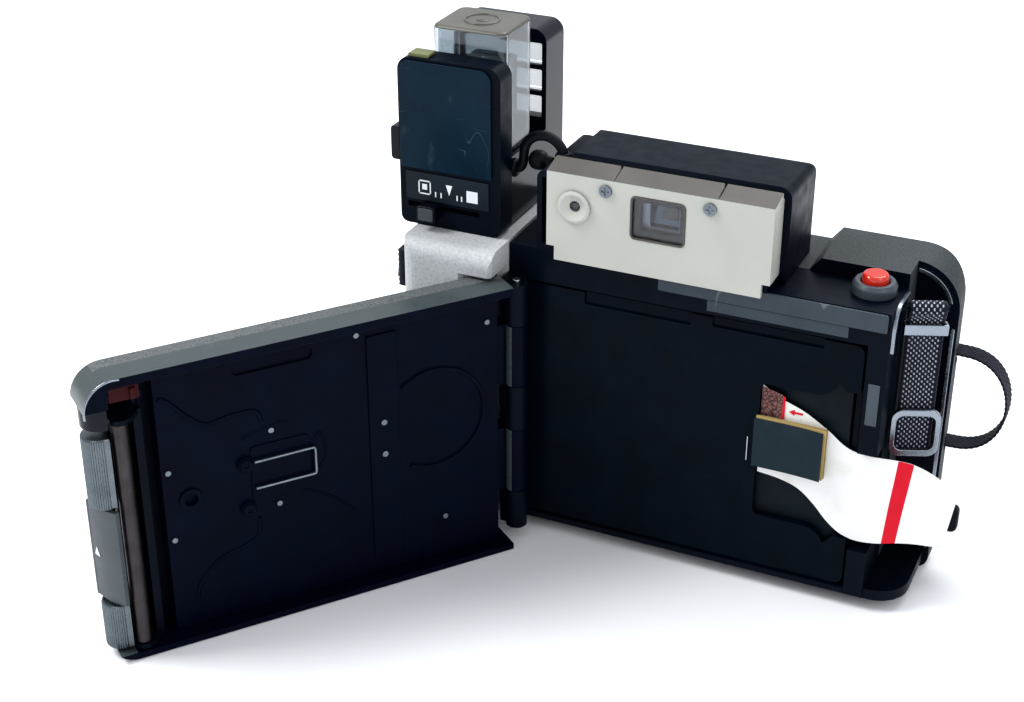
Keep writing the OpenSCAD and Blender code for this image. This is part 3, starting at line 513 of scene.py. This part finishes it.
def evenly(points, spacing):
    """The same line with points at even spacing."""
    result, carry = [points[0]], 0.0
    for a, b in zip(points, points[1:]):
        length = (b - a).length
        place = spacing - carry
        while place <= length:
            result.append(a.lerp(b, place / length))
            place += spacing
        carry = (carry + length) % spacing
    return result


def webbing(name, path, across, width, thickness, ribs, looks, stands_for=(), fleck_step=0):
    """A woven strap: warp ribs that dip at every pick, some of them in a pale yarn."""
    pick, cuts = 1.0, 4
    line = evenly([Vector(p) for p in path], pick / cuts)
    across = Vector(across).normalized()
    columns = ribs * cuts
    verts, faces, indices = [], [], []
    for row, (centre, along) in enumerate(zip(line, tangents(line))):
        normal = along.cross(across).normalized()
        for side in (1, -1):
            for column in range(columns + 1):
                place = column if side == 1 else columns - column
                rib, phase = divmod(place, cuts)
                edge = 1 - max(0.0, abs(2 * place / columns - 1) - 0.9) * 6
                weave = 0.55 + 0.45 * math.cos(2 * math.pi * (row / (2 * cuts) + rib / 2))
                swell = 0.25 * math.sin(math.pi * phase / cuts) * weave
                height = (thickness / 2 - 0.25) * edge + swell
                verts.append(centre + across * width * (place / columns - 0.5) + normal * height * side)
    ring = 2 * (columns + 1)
    for row in range(len(line) - 1):
        for k in range(ring):
            n = (k + 1) % ring
            faces.append((row * ring + k, (row + 1) * ring + k, (row + 1) * ring + n, row * ring + n))
            place = k if k <= columns else ring - 1 - k
            rib, pick_row = place // cuts, (row + (place // cuts) * cuts) // (2 * cuts)
            inner = 1 <= rib < ribs - 1 and 0 < place % cuts < cuts - 1
            raised = (row + rib * cuts) % (2 * cuts) in (0, 1, 7)
            flecked = fleck_step and inner and raised and (pick_row + rib) % fleck_step == 0
            indices.append(1 if flecked else 0)
    faces += [tuple(range(ring)), tuple((len(line) - 1) * ring + k for k in reversed(range(ring)))]
    indices += [0, 0]
    mesh = mesh_from(name, verts, faces, indices, sharp=80)
    return new_object(name, mesh, looks, "body", stands_for)


def wrist_strap():
    over = [(0, -2.05 * math.cos(a), 115 + 2.05 * math.sin(a))
            for a in (math.radians(18 * k) for k in range(11))]
    path = [(0, 0, 60 + 6 * k) for k in range(9)] + [(0, -0.3, 111.4), (0, -1.6, 113.4)]
    path += over + [(0, 1.9, 113.6), (0, 1.75, 111.8), (0, 1.7, 110.2)]
    points = curve_through([strap_point(*p) for p in path], 5)
    webbing("strap_webbing_woven", points, STRAP_ACROSS, 12.7, 1.5, 13, ["yarn", "fleck"],
            ("strap_webbing",), fleck_step=1)


def outer_loop():
    path = [(86, 88.6), (92, 88.6), (97, 88.6)]
    for i in range(1, 20):
        a = math.radians(90 - 180 * i / 20)
        path.append((97.5 + 18.0 * math.cos(a) ** 0.8, 70 + 18.6 * math.sin(a)))
    path += [(97, 51.4), (92, 51.4), (86, 51.4)]
    points = curve_through([(x, 13.75, z) for x, z in path], 4)
    loop = webbing("strap_loop_woven", points, (0, 1, 0), 8.9, 1.2, 7, ["yarn"], ("strap_loop",))
    end = [Vector((-98.6, -32, 97.4 + 1.2 * k)) for k in range(13)]
    webbing("strap_end_woven", end, (0, 1, 0), 11.6, 4.2, 8, ["yarn", "fleck"], fleck_step=2)
    for offset in (-2.6, 2.6):
        stitch = [
            (-101.3, -32 + offset - 1.6, 100), (-101.4, -32 + offset, 104.5), (-101.3, -30.4 + offset, 109)
        ]
        tube("strap_end_stitch", curve_through(stitch, 4), 0.45, "fleck", "body", 8)
    tab = [(x, 8.2, z) for x, z in rounded(96.1, 104.4, 16.1, 26.9, 2.4)]
    plate("strap_tab", tab, (0, 3.6, 0), "rubber", "body", 0.7)
    return loop


def outline_height(points, x):
    """Height of an outline at x, eased between its given points."""
    for (x0, z0), (x1, z1) in zip(points, points[1:]):
        if x <= x1:
            t = max(0.0, (x - x0) / (x1 - x0))
            return z0 + (z1 - z0) * t
    return points[-1][1]


def leader_edges():
    top = curve_through([(37.5, 0, 82), (44, 0, 78), (53, 0, 74.5), (62, 0, 69), (68, 0, 64.5),
                         (74, 0, 62.5), (86, 0, 62.4), (97, 0, 60.4), (107, 0, 56)], 6)
    low = curve_through([(37.5, 0, 46.5), (46, 0, 45.4), (53, 0, 43), (59, 0, 38), (64, 0, 32.5),
                         (70, 0, 28.2), (78, 0, 26.8), (94, 0, 29.5), (107, 0, 32)], 6)
    return [[(p.x, p.z) for p in edge] for edge in (top, low)]


def paper_leader():
    """White paper leader with a red band, curling a little as it leaves the chamber."""
    top, low = leader_edges()
    long_cells, high_cells = 110, 14
    points, faces, indices = [], [], []
    for side in (-0.1, 0.1):
        for i in range(long_cells + 1):
            along = i / long_cells
            free = min(1.0, max(0.0, (along - 0.45) / 0.3))
            for j in range(high_cells + 1):
                up = j / high_cells
                x = 37.5 + 69.5 * along
                z = outline_height(low, x) * (1 - up) + outline_height(top, x) * up
                ripple = 0.55 * math.sin(along * 17 + 1.3 * up) + 0.5 * math.sin(6 * up + 3 * along)
                curl = -1.1 * max(0.0, along - 0.75) * 4 * (up - 0.4)
                points.append((x + 3.4 * (up - 0.5) * free, -27.7 + side + free * (0.8 + ripple + curl), z))
    row, sheet = high_cells + 1, (long_cells + 1) * (high_cells + 1)
    for i in range(long_cells):
        for j in range(high_cells):
            a, b = i * row + j, (i + 1) * row + j
            look = 1 if 76 <= i < 84 else 0
            faces += [(a, a + 1, b + 1, b), (a + sheet, b + sheet, b + 1 + sheet, a + 1 + sheet)]
            indices += [look, look]
    rim = [i * row for i in range(long_cells + 1)]
    rim += [long_cells * row + j for j in range(1, row)]
    rim += [i * row + high_cells for i in range(long_cells - 1, -1, -1)]
    rim += list(range(high_cells - 1, 0, -1))
    for a, b in zip(rim, rim[1:] + rim[:1]):
        faces.append((a, b, b + sheet, a + sheet))
        indices.append(0)
    mesh = mesh_from("paper_leader_curled", points, faces, indices, sharp=60)
    new_object("paper_leader_curled", mesh, ["paper", "red_band"], "body", ("paper_leader",))


def curved_card(name, x, z, y, thickness, curl, look, stands_for=()):
    """A card whose right-hand edge lifts towards the user."""
    cells = 14
    points, faces = [], []
    for i in range(cells + 1):
        t = i / cells
        px = x[0] + (x[1] - x[0]) * t
        lift = curl * max(0.0, t - 0.35) ** 2
        for py, pz in ((y, z[0]), (y, z[1]), (y - thickness, z[1]), (y - thickness, z[0])):
            points.append((px, py - lift, pz))
    for i in range(cells):
        for k in range(4):
            n = (k + 1) % 4
            faces.append((4 * i + k, 4 * (i + 1) + k, 4 * (i + 1) + n, 4 * i + n))
    faces += [(3, 2, 1, 0), tuple(4 * cells + k for k in range(4))]
    mesh = mesh_from(name, points, faces, sharp=30)
    return new_object(name, mesh, [look], "body", stands_for)


def tab_pad():
    leaves = 9
    for k in range(leaves):
        slip = random.uniform(-0.35, 0.35)
        rise = random.uniform(-0.3, 0.3)
        curved_card(f"tab_leaf_{k}", (36.5 + slip, 61.9 + slip), (50.4 + rise, 70.2 + rise),
                    -28.3 - 0.19 * k, 0.16, 0.6 + 0.22 * k, "tan")
    curved_card("tab_pad_cover", (35.8, 61.0), (50.0, 69.4), -28.3 - 0.19 * leaves, 0.5, 2.7, "card",
                ("tab_pad",))


def pack_prints():
    """The printed patch, red edge and arrow that show beside the tabs, and the staple."""
    patch = [(x, -27.95, z) for x, z in ((37.3, 70), (45.0, 70), (45.0, 79.5), (37.3, 81.5))]
    plate("pack_patch", patch, (0, -0.12, 0), "honeycomb", "body")
    edge = [(x, -27.95, z) for x, z in ((45.0, 70), (45.9, 70), (45.9, 78.8), (45.0, 79.2))]
    plate("pack_patch_edge", edge, (0, -0.13, 0), "red_band", "body")
    shape = (
        (47.4, 73.4), (49.4, 72.2), (49.4, 73.0), (52.4, 73.0), (52.4, 73.8), (49.4, 73.8), (49.4, 74.6)
    )
    plate("pack_arrow", [(x, -27.85, z) for x, z in shape], (0, -0.1, 0), "red_band", "body")
    wire = [(33.5, -28.6, 60.2), (33.5, -29.25, 60), (33.5, -29.3, 59.4), (33.5, -29.3, 51.6),
            (33.5, -29.25, 51), (33.5, -28.6, 50.8)]
    tube("pack_staple", wire, 0.3, "steel", "body", 10)


def bellows():
    """Pleated cloth that tapers from the film aperture to the lens standard."""
    folds, start, end = 15, -12.6, 77.9
    rings = 2 * folds + 1
    points, faces = [], []
    for ring in range(rings):
        t = ring / (rings - 1)
        inset = 4.6 * (ring % 2)
        low_x, high_x = -42 + 15 * t + inset, 52 - 15 * t - inset
        low_z, high_z = 11.5 + 8.5 * t + inset, 90 - 10 * t - inset
        corner = 1.2 + 4.2 * (ring % 2)
        y = start + (end - start) * t
        points += [(x, y, z) for x, z in rounded(low_x, high_x, low_z, high_z, corner, 3)]
    size = len(points) // rings
    for ring in range(rings - 1):
        for k in range(size):
            n = (k + 1) % size
            faces.append((ring * size + k, (ring + 1) * size + k, (ring + 1) * size + n, ring * size + n))
    mesh = mesh_from("bellows_pleated", points, faces, sharp=25)
    piece = new_object("bellows_pleated", mesh, ["bellows"], "body", ("bellows",))
    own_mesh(piece)


def release_spring():
    """Coil under the release button."""
    turns, steps, radius = 3, 24, 4.5
    floor, low, high = 107.1, 107.5, 111.5
    line = []
    for k in range(turns * steps + 1):
        a = 2 * math.pi * k / steps
        z = low + (high - low) * k / (turns * steps)
        line.append(Vector((BUTTON.x + radius * math.cos(a), BUTTON.y + radius * math.sin(a), z)))
    coil = tube("release_coil", line, 0.35, "steel", "body", 8,
                stands_for=("button_spring",), up=(0, 0, 1))
    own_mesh(coil)


# ---- Film door details ----


def door_ridge(name, line, inward, radius, look="door_black"):
    points = curve_through([door_point(s, inward, z) for s, z in line], 6)
    tube(name, points, radius, look, "film_door", 10, up=NEARLY_INWARD)


def door_details():
    door_ridge("door_ridge_top",
               [(134, 95.5), (131, 94), (124, 86), (118, 82), (110, 83), (101, 82.5), (99, 78)], 1.0, 0.9)
    door_ridge("door_ridge_low", [(127, 13), (125, 20), (118, 27), (108, 30), (103, 33), (102, 40)],
               1.0, 0.8)
    door_ridge("door_ridge_tab", [(106, 72), (105, 73.5), (92, 76), (90, 75)], 1.0, 0.5)
    door_ridge("door_ridge_hook", [(80, 66), (78, 68), (76, 60), (78, 55), (84, 52)], 1.0, 0.6)
    door_ridge("door_ridge_bow", [(92, 50), (84, 46), (74, 40), (66, 32)], 1.0, 0.6)
    spring_plate = [door_point(s, 1.15, z) for s, z in rounded(82, 104, 47, 69, 2)]
    plate("door_spring_plate", spring_plate, DOOR_INWARD * 0.5, "door_black", "film_door", 0.2)
    for z in (45, 63):
        outer = [(2.4, 0), (2.6, 0.5), (2.2, 1.1), (0.8, 1.3), (0.5, 0.9)]
        lathe("door_post", outer, door_point(106, 2.3, z), DOOR_INWARD, "door_black", "film_door",
              24)
    # Painted highlight: a thin bright metal tube along the inner rim of the door's rounded corner stands in
    # for the glint on the glossy plastic there.
    corner = [door_point(s, 7.2, z) for s, z in arc(149, 99, 10.6, -8, 100, 14)]
    tube("door_corner_painted_highlight", corner, 0.45, "trim", "film_door", 10,
         up=NEARLY_INWARD)


def spring_wire():
    line = [(103, 53), (100, 53), (90, 53), (82, 53), (80.8, 53.4), (80.6, 54.6), (80.6, 58), (80.6, 62),
            (80.8, 63.2), (82, 63.6), (90, 63.6), (100, 63.6), (103, 63.6)]
    points = curve_through([door_point(s, 2.9, z) for s, z in line], 4)
    tube("door_spring_wire_bent", points, 0.5, "dull_steel", "film_door", 12,
         stands_for=("door_spring_wire",), up=NEARLY_INWARD)


def ribbed_grips():
    """Silver grips with fine ribs round the door's end."""
    ribs = 22
    points, faces = [], []
    for low, high in ((60.5, 87.5), (3.5, 21.5)):
        start = len(points)
        section = [(152, -7.5)]
        for k in range(ribs * 4 + 1):
            a = math.radians(-88 + 176 * k / (ribs * 4))
            r = 6.4 - 0.3 * (0.5 + 0.5 * math.cos(math.pi * k / 2))
            section.append((153.6 + r * math.cos(a), -1.1 + r * math.sin(a)))
        section.append((152, 5.3))
        levels = [
            (low, 0.5), (low + 0.4, 0.1), (low + 0.9, 0), (high - 0.9, 0), (high - 0.4, 0.1), (high, 0.5)
        ]
        for z, inset in levels:
            for s, t in section:
                towards = Vector((153, -1.1, 0)) - Vector((s, t, 0))
                moved = Vector((s, t, 0)) + towards.normalized() * inset
                points.append(door_point(moved.x, moved.y, z))
        size = len(section)
        for level in range(len(levels) - 1):
            for k in range(size):
                n = (k + 1) % size
                a, b = start + level * size, start + (level + 1) * size
                faces.append((a + k, a + n, b + n, b + k))
        faces.append(tuple(start + k for k in reversed(range(size))))
        faces.append(tuple(start + (len(levels) - 1) * size + k for k in range(size)))
    mesh = mesh_from("door_grips_ribbed", points, faces, sharp=40)
    new_object("door_grips_ribbed", mesh, ["grip"], "film_door", ("door_grips",))


def flap_mark():
    """A small plain white triangle where a step mark belongs on the exit flap."""
    outward = (DOOR_ALONG * 0.9 + DOOR_INWARD * 0.25).normalized()
    centre = door_point(158.75, -2.9, 41)
    level = Vector((0, 0, 1)).cross(outward).normalized()
    corners = [centre + level * a + Vector((0, 0, b)) for a, b in ((-1.6, -1.5), (1.6, -1.5), (0, 2))]
    plate("flap_mark", corners, outward * 0.12, "mark", BODY_OF["exit_flap"])


# ---- Viewfinder ----


def rect_frame(name, outer, inner, y, depth, look, radius=1.2):
    """A flat frame round a window, facing the user; outer and inner are (low x, high x, low z, high z)."""
    rings = [
        (outer, radius, 0.35 * depth), (outer, radius, 0),
        (inner, radius * 0.7, 0), (inner, radius * 0.7, depth),
    ]
    points, faces = [], []
    for span, corner, back in rings:
        points += [(x, y + back, z) for x, z in rounded(*span, corner, 5)]
    size = len(points) // len(rings)
    for i in range(len(rings) - 1):
        for k in range(size):
            n = (k + 1) % size
            faces.append((i * size + k, i * size + n, (i + 1) * size + n, (i + 1) * size + k))
    return new_object(name, mesh_from(name, points, faces, sharp=35), [look], "body")


def viewfinder():
    rect_frame("finder_bezel", (-12.2, 7.7, 130.6, 146.7), (-11.6, 7.1, 131.2, 146.1), -33.2, 0.9,
               "taupe", 1.8)
    rect_frame("finder_well", (-11.9, 7.4, 130.9, 146.4), (-9.6, 5.2, 133.2, 144.2), -31.2, 3.6,
               "black_gloss")
    rect_frame("finder_step", (-9.4, 5.0, 133.4, 144.0), (-6.6, 4.0, 134.6, 143.2), -28.2, 3.0, "dull_steel")
    mirror = [(x, y, z) for x, y, z in ((-9.6, -26.2, 132.6), (5.2, -25.0, 132.6), (5.2, -20.5, 144.6),
                                         (-9.6, -21.7, 144.6))]
    plate("finder_mirror", mirror, (0, 0.6, 0), "foil", "body", 0.2)
    glow = [(x, -24.4, z) for x, z in rounded(-3.6, 2.4, 136.4, 141.6, 0.8)]
    plate("finder_field_frame", glow, (0, -0.4, 0), "frosted", "body", 0.15)
    lathe("finder_eye_lens", [(3.4, 0), (3.4, 0.6), (2.6, 1.0), (1.4, 1.25), (0.2, 1.35)],
          (-32.9, -31.6, 138.8), (0, -1, 0), "glass", "body")
    lathe("finder_eye_well", [(3.6, 0), (3.6, 0.5), (1.4, 0.6), (1.0, 0.3)], (-32.9, -31.3, 138.8),
          (0, -1, 0), "black_gloss", "body")


def cover_rule(centre, normal):
    """Beige in general, brownish on the cover's sloping top and right-hand cheek."""
    if normal.z > 0.3 and centre.z > 149.5:
        return 1
    return 0


# ---- Flash unit ----


def shield_rule(centre, normal):
    return 1 if normal.z > 0.3 and centre.z > 190 else 0


def flash_cube():
    base, top, half = FLASH_BASE_TOP + 2, FLASH_BASE_TOP + 31.8, 7.9
    shell = []
    for inset, low, high in ((0, base + 0.1, top), (0.7, base + 0.1, top - 0.8)):
        reach = half - inset
        square = rounded(-half + inset, reach, -half + inset, reach, 1.8 - inset / 2)
        shell.append([(CUBE.x + x, CUBE.y + y) for x, y in square])
    outer, inner = shell
    size = len(outer)
    rings = [(outer, base + 0.1), (outer, top - 0.5), ([(CUBE.x + (x - CUBE.x) * 0.95,
             CUBE.y + (y - CUBE.y) * 0.95) for x, y in outer], top)]
    points = [(x, y, z) for ring, z in rings for x, y in ring]
    faces = []
    for i in range(len(rings) - 1):
        for k in range(size):
            n = (k + 1) % size
            faces.append((i * size + k, i * size + n, (i + 1) * size + n, (i + 1) * size + k))
    faces.append(tuple((len(rings) - 1) * size + k for k in range(size)))
    count = len(points)
    low_inner = [(x, y, base + 0.1) for x, y in inner]
    high_inner = [(x, y, top - 0.8) for x, y in inner]
    points += low_inner + high_inner
    for k in range(size):
        n = (k + 1) % size
        faces.append((count + n, count + k, count + size + k, count + size + n))
        faces.append((k, count + k, count + n, n))
    faces.append(tuple(count + size + k for k in reversed(range(size))))
    mesh = mesh_from("cube_case", points, faces, sharp=35)
    new_object("cube_case", mesh, ["clear"], "cube", ("flashcube",))
    profile = [(8.9, -2.6), (9.0, -2.2), (9.0, 1.4), (8.6, 1.9), (8.2, 2.0), (3.0, 2.0)]
    lathe("cube_base", profile, (CUBE.x, CUBE.y, FLASH_BASE_TOP), (0, 0, 1), "black_gloss", "cube")
    for quarter in range(4):
        reflector(quarter)


def reflector(quarter):
    """One dished foil reflector of the cube and the small blue bulb in front of it."""
    turn = Matrix.Rotation(math.radians(90 * quarter), 3, "Z")
    wide, high, cells = 6.6, 13.4, 14
    middle = FLASH_BASE_TOP + 17
    points, faces = [], []
    for i in range(cells + 1):
        for j in range(cells + 1):
            u, v = 2 * i / cells - 1, 2 * j / cells - 1
            dish = 4.6 * max(0.0, 1 - u * u) ** 0.5 * max(0.0, 1 - v ** 4) ** 0.5
            place = turn @ Vector((u * wide, -6.9 + dish, 0))
            points.append((CUBE.x + place.x, CUBE.y + place.y, middle + v * high))
    row = cells + 1
    for i in range(cells):
        for j in range(cells):
            a = i * row + j
            faces.append((a, a + row, a + row + 1, a + 1))
    mesh = mesh_from(f"cube_reflector_{quarter}", points, faces, sharp=75)
    new_object(f"cube_reflector_{quarter}", mesh, ["foil"], "cube")
    place = turn @ Vector((0, -4.9, 0))
    profile = [(0.3, 0), (1.3, 0.5), (1.7, 1.8), (1.8, 6), (1.8, 11), (1.5, 13.2), (0.8, 14.6), (0.1, 15.1)]
    lathe(f"cube_bulb_{quarter}", profile, (CUBE.x + place.x, CUBE.y + place.y, middle - 9), (0, 0, 1),
          "bulb", "cube", 20)


def shield_emboss():
    ring = [(x, y, 192.55) for x, y in arc(-79.4, -8.4, 6.2, 0, 345, 23)]
    tube("shield_emboss", ring, 0.5, "frosted", BODY_OF["cube_shield"], 10, closed=True,
         up=(0, 0, 1))
    lathe("shield_boss", [(2.4, -0.4), (2.4, 0.2), (1.9, 0.45), (0.4, 0.5)], (-79.4, -8.4, 192.5), (0, 0, 1),
          "frosted", BODY_OF["cube_shield"], 32)


def flash_marks():
    """Plain setting marks: an open square, ticks about a triangle, and a filled square."""
    face = -31.52

    def mark(name, shape):
        plate(name, [(x, face, z) for x, z in shape], (0, -0.08, 0), "mark", "body")

    def bar(name, x0, x1, z0, z1):
        mark(name, [(x0, z0), (x1, z0), (x1, z1), (x0, z1)])

    for k, (x0, x1, z0, z1) in enumerate(((-94.4, -93.9, 132.6, 138), (-89.9, -89.4, 132.6, 138),
                                           (-94.4, -89.4, 132.6, 133.1), (-94.4, -89.4, 137.5, 138),
                                           (-92.9, -90.9, 134.4, 136.6))):
        bar(f"mark_square_{k}", x0, x1, z0, z1)
    bar("mark_filled", -75.2, -70.8, 132.4, 136.8)
    mark("mark_triangle", [(-83.4, 137.6), (-82.1, 133.6), (-80.8, 137.6)])
    for k, x in enumerate((-87.8, -85.6, -79.2, -77.4)):
        bar(f"mark_tick_{k}", x, x + 0.5, 132.2, 134.2)


def flash_rule(centre, normal):
    """Satin on the rear box, glossy in front of it, olive on the small tab on top."""
    if centre.z > FLASH_TAB_BOTTOM and centre.y < -23:
        return 2
    return 1 if centre.y > -21.2 else 0


# ---- Lens and front ----


def lens_details():
    front = (OPTIC.x, 0, OPTIC.z)

    def ring(name, profile, look, body, slot):
        lathe(name, profile, front, (0, 1, 0), look, body, 64)

    ring("lens_name_ring", [(11.8, 98.6), (12.4, 99.2), (14.6, 101.0), (14.9, 100.2), (12, 98)],
         "black_gloss", "lens", "shutter_grey")
    ring("lens_bright_ring", [(14.9, 101.4), (15.4, 101.9), (16.2, 101.6), (16.2, 101.2)], "trim", "lens",
         "ring_metal")
    for k in range(25):
        a = math.radians(-60 + 5 * k + 90)
        inner, outer = 20.0, (21.6 if k % 4 else 22.6)
        across = Vector((-math.sin(a), 0, math.cos(a))) * 0.14
        along = Vector((math.cos(a), 0, math.sin(a)))
        middle = Vector((OPTIC.x, 97.9, OPTIC.z))
        shape = [middle + along * inner - across, middle + along * outer - across,
                 middle + along * outer + across, middle + along * inner + across]
        plate(f"ring_tick_{k}", shape, (0, 0.08, 0), "black_matt", BODY_OF["exposure_ring"])
    for k in range(5):
        a, b = math.radians(72 * k), math.radians(72 * k + 80)
        blade = [(OPTIC.x + r * math.cos(t), 91.6 + 0.15 * k, OPTIC.z + r * math.sin(t))
                 for r, t in ((11.0, a), (11.0, (a + b) / 2), (11.0, b), (4.0, b), (4.0, a))]
        plate(f"aperture_blade_{k}", blade, (0, 0.1, 0), "dull_steel", "lens")


# ---- Whole object ----


def top_rim_of_block(p):
    return p.z > 112.5 and p.x < -59.9


def shell_top(p):
    return p.z > 117 or p.x > 92


def shell_rule(centre, normal):
    """Leather grain outside; plain black where the shell is cut back and inside its openings."""
    if normal.y < -0.5 or (abs(normal.y) < 0.5 and -50.2 < centre.x < 60.2 and 7.8 < centre.z < 111.2):
        return 1
    if 63 <= centre.x <= 77.6 and centre.z < 116.2 and centre.y < 19.6:
        return 1
    return 0


def door_rule(centre, normal):
    """Leather grain on the outer face, a satin strip along the top, black inside."""
    along, inward, z = on_door(centre)
    if z > 109.2 and inward > -2.2:
        return 2
    if z > 109.2 or inward < -7.4:
        return 0
    if normal.dot(DOOR_INWARD) > 0.6:
        return 2 if inward > 7 and z > 106 else 1
    if normal.dot(DOOR_ALONG) > 0.5 or (along > 151 and inward > -7.4) or normal.z < -0.9 and z < 1:
        return 2
    return 1


def eye_rule(centre, normal):
    """The electric eye's cell is darker than the shutter panel round it."""
    close = math.hypot(centre.x + 24, centre.z - 70) < 5.9
    return 1 if close and 91 < centre.y < 94.6 else 0


PLAIN = {
    "chamber_frame": (["black"], 0.35), "battery_door": (["grey_panel"], 0.3), "batteries": (["wrap"], 0.4),
    "battery_contacts": (["steel"], 0.2), "rear_rail": (["rail"], 0.2),
    "shell_trim": (["trim"], 0.25), "tripod_bush": (["steel"], 0.2), "hinge_pin": (["steel"], 0.2),
    "viewfinder_housing": (["black"], 0.7), "viewfinder_glass": (["glass"], 0.1),
    "focus_eyepiece": (["beige"], 0.1), "viewfinder_screws": (["dull_steel"], 0.12),
    "shutter_collar": (["collar"], 0.25),
    "shutter_button": (["red"], 0.1), "strap_keeper": (["trim"], 0.35),
    "film_pack_shell": (["pack"], 0.2), "film_stack": (["film"], 0.2),
    "door_inner_plate": (["door_black"], 0.2),
    "door_rivets": (["dull_steel"], 0.25), "door_latch": (["black_gloss"], 0.35),
    "exit_flap": (["flap"], 0.25),
    "roller_frame": (["black"], 0.2), "roller_upper": (["roller"], 0.25), "roller_lower": (["roller"], 0.25),
    "roller_clip": (["clip_red"], 0.3), "front_standard": (["black"], 0.4),
    "lens_barrel": (["black_gloss"], 0.2),
    "lens_glass": (["lens"], 0.0), "exposure_ring": (["ring"], 0.15),
    "cocking_lever": (["black_gloss"], 0.2),
    "focus_bar": (["black"], 0.3), "left_strut": (["steel"], 0.2), "right_strut": (["steel"], 0.2),
    "louver_lower": (["louver"], 0.2), "louver_middle": (["louver"], 0.2), "louver_upper": (["louver"], 0.2),
    "flash_catch": (["black_gloss"], 0.4), "cord_fittings": (["rubber"], 0.25),
}


def hard_pieces():
    for node, (looks, bevel) in PLAIN.items():
        refined(node, looks, bevel)
    refined("front_shell", ["shell", "black"], 0.4, (shell_top, 1.3), shell_rule)
    refined("battery_block", ["block"], 0.5, (top_rim_of_block, 3.2))
    refined("door_shell", ["door_skin", "door_black", "lip"], 0.4, rule=door_rule,
            cuts=[(tuple(HINGE + DOOR_INWARD * -2.2), DOOR_INWARD)])
    refined("viewfinder_cover", ["beige", "taupe"], 0.3, rule=cover_rule)
    refined("rail_seals", ["rail", "seal"], 0.12, rule=lambda c, n: 0 if c.z > 100 else 1)
    refined("strap_buckle", ["trim"], 0.7, segments=3)
    refined("shutter_housing", ["grey_panel", "eye_cell"], 0.5, rule=eye_rule)
    refined("flash_housing", ["black", "black_gloss", "olive"], 0.45, rule=flash_rule)
    refined("flash_plate", ["plate", "label"], 0.2, rule=lambda c, n: 1 if c.z < 141 else 0)
    # Painted highlight: the part of the black slider knob nearest the user gets the grey collar look,
    # standing in for a light-grey highlight on it.
    refined("exposure_slider", ["black_gloss", "collar"], 0.25, rule=lambda c, n: 1 if c.y < -36.05 else 0)
    refined("cube_shield", ["clear", "frosted"], 0.3, (lambda p: p.z > 191.8, 1.6), shield_rule)


def add_camera():
    turn, rise = math.radians(24.5), math.radians(28)
    back = Vector((math.sin(turn) * math.cos(rise), -math.cos(turn) * math.cos(rise), math.sin(rise)))
    right = Vector((math.cos(turn), math.sin(turn), 0))
    data = bpy.data.cameras.new("camera")
    data.lens = 62.79
    data.clip_start = 0.01
    camera = bpy.data.objects.new("camera", data)
    bpy.context.scene.collection.objects.link(camera)
    camera.matrix_world = Matrix((right, back.cross(right), back)).transposed().to_4x4()
    camera.location = (0.1837, -0.5605, 0.3852)
    bpy.context.scene.camera = camera


def area_light(name, place, target, size, power, colour=(1, 1, 1)):
    data = bpy.data.lights.new(name, "AREA")
    data.size = size
    data.energy = power
    data.color = colour
    light = bpy.data.objects.new(name, data)
    bpy.context.scene.collection.objects.link(light)
    light.location = place
    light.rotation_euler = (Vector(target) - Vector(place)).to_track_quat("-Z", "Y").to_euler()


def studio():
    world = bpy.data.worlds.new("studio")
    world.use_nodes = True
    background = world.node_tree.nodes["Background"]
    background.inputs["Color"].default_value = (0.93, 0.96, 1.0, 1)
    background.inputs["Strength"].default_value = 0.8
    bpy.context.scene.world = world
    area_light("key", (-0.8, -0.35, 1.1), (0, 0, 0.06), 0.5, 11)
    area_light("fill", (1.0, -0.6, 0.7), (0, 0, 0.06), 0.6, 2.5)
    area_light("top", (0.15, 0.6, 1.1), (0, 0, 0.05), 0.7, 8)
    bpy.ops.mesh.primitive_plane_add(size=8, location=(0, 0, -0.0004))
    floor = bpy.context.object
    floor.name = "floor"
    surface = Surface("floor_pale", Specular_IOR_Level=0.1)
    tones = [(0.3, (0.84, 0.85, 0.87)), (0.7, (0.87, 0.88, 0.9))]
    surface.colour(surface.ramp(surface.noise(900, 2), tones))
    surface.roughness(surface.spread(surface.noise(300, 2), 0.3, 0.7, 0.75, 0.85))
    floor.data.materials.append(surface.material)
    bpy.context.scene.view_settings.view_transform = "Standard"
    bpy.context.scene.view_settings.look = "Medium High Contrast"


add_camera()
tube("sync_cord_smooth", curve_through(SYNC_ROUTE, 5), 1.8, "rubber", "body", 24,
     stands_for=("sync_cord",))
hard_pieces()
wrist_strap()
outer_loop()
paper_leader()
tab_pad()
pack_prints()
bellows()
release_spring()
door_details()
spring_wire()
ribbed_grips()
flap_mark()
viewfinder()
flash_cube()
shield_emboss()
flash_marks()
lens_details()
studio()
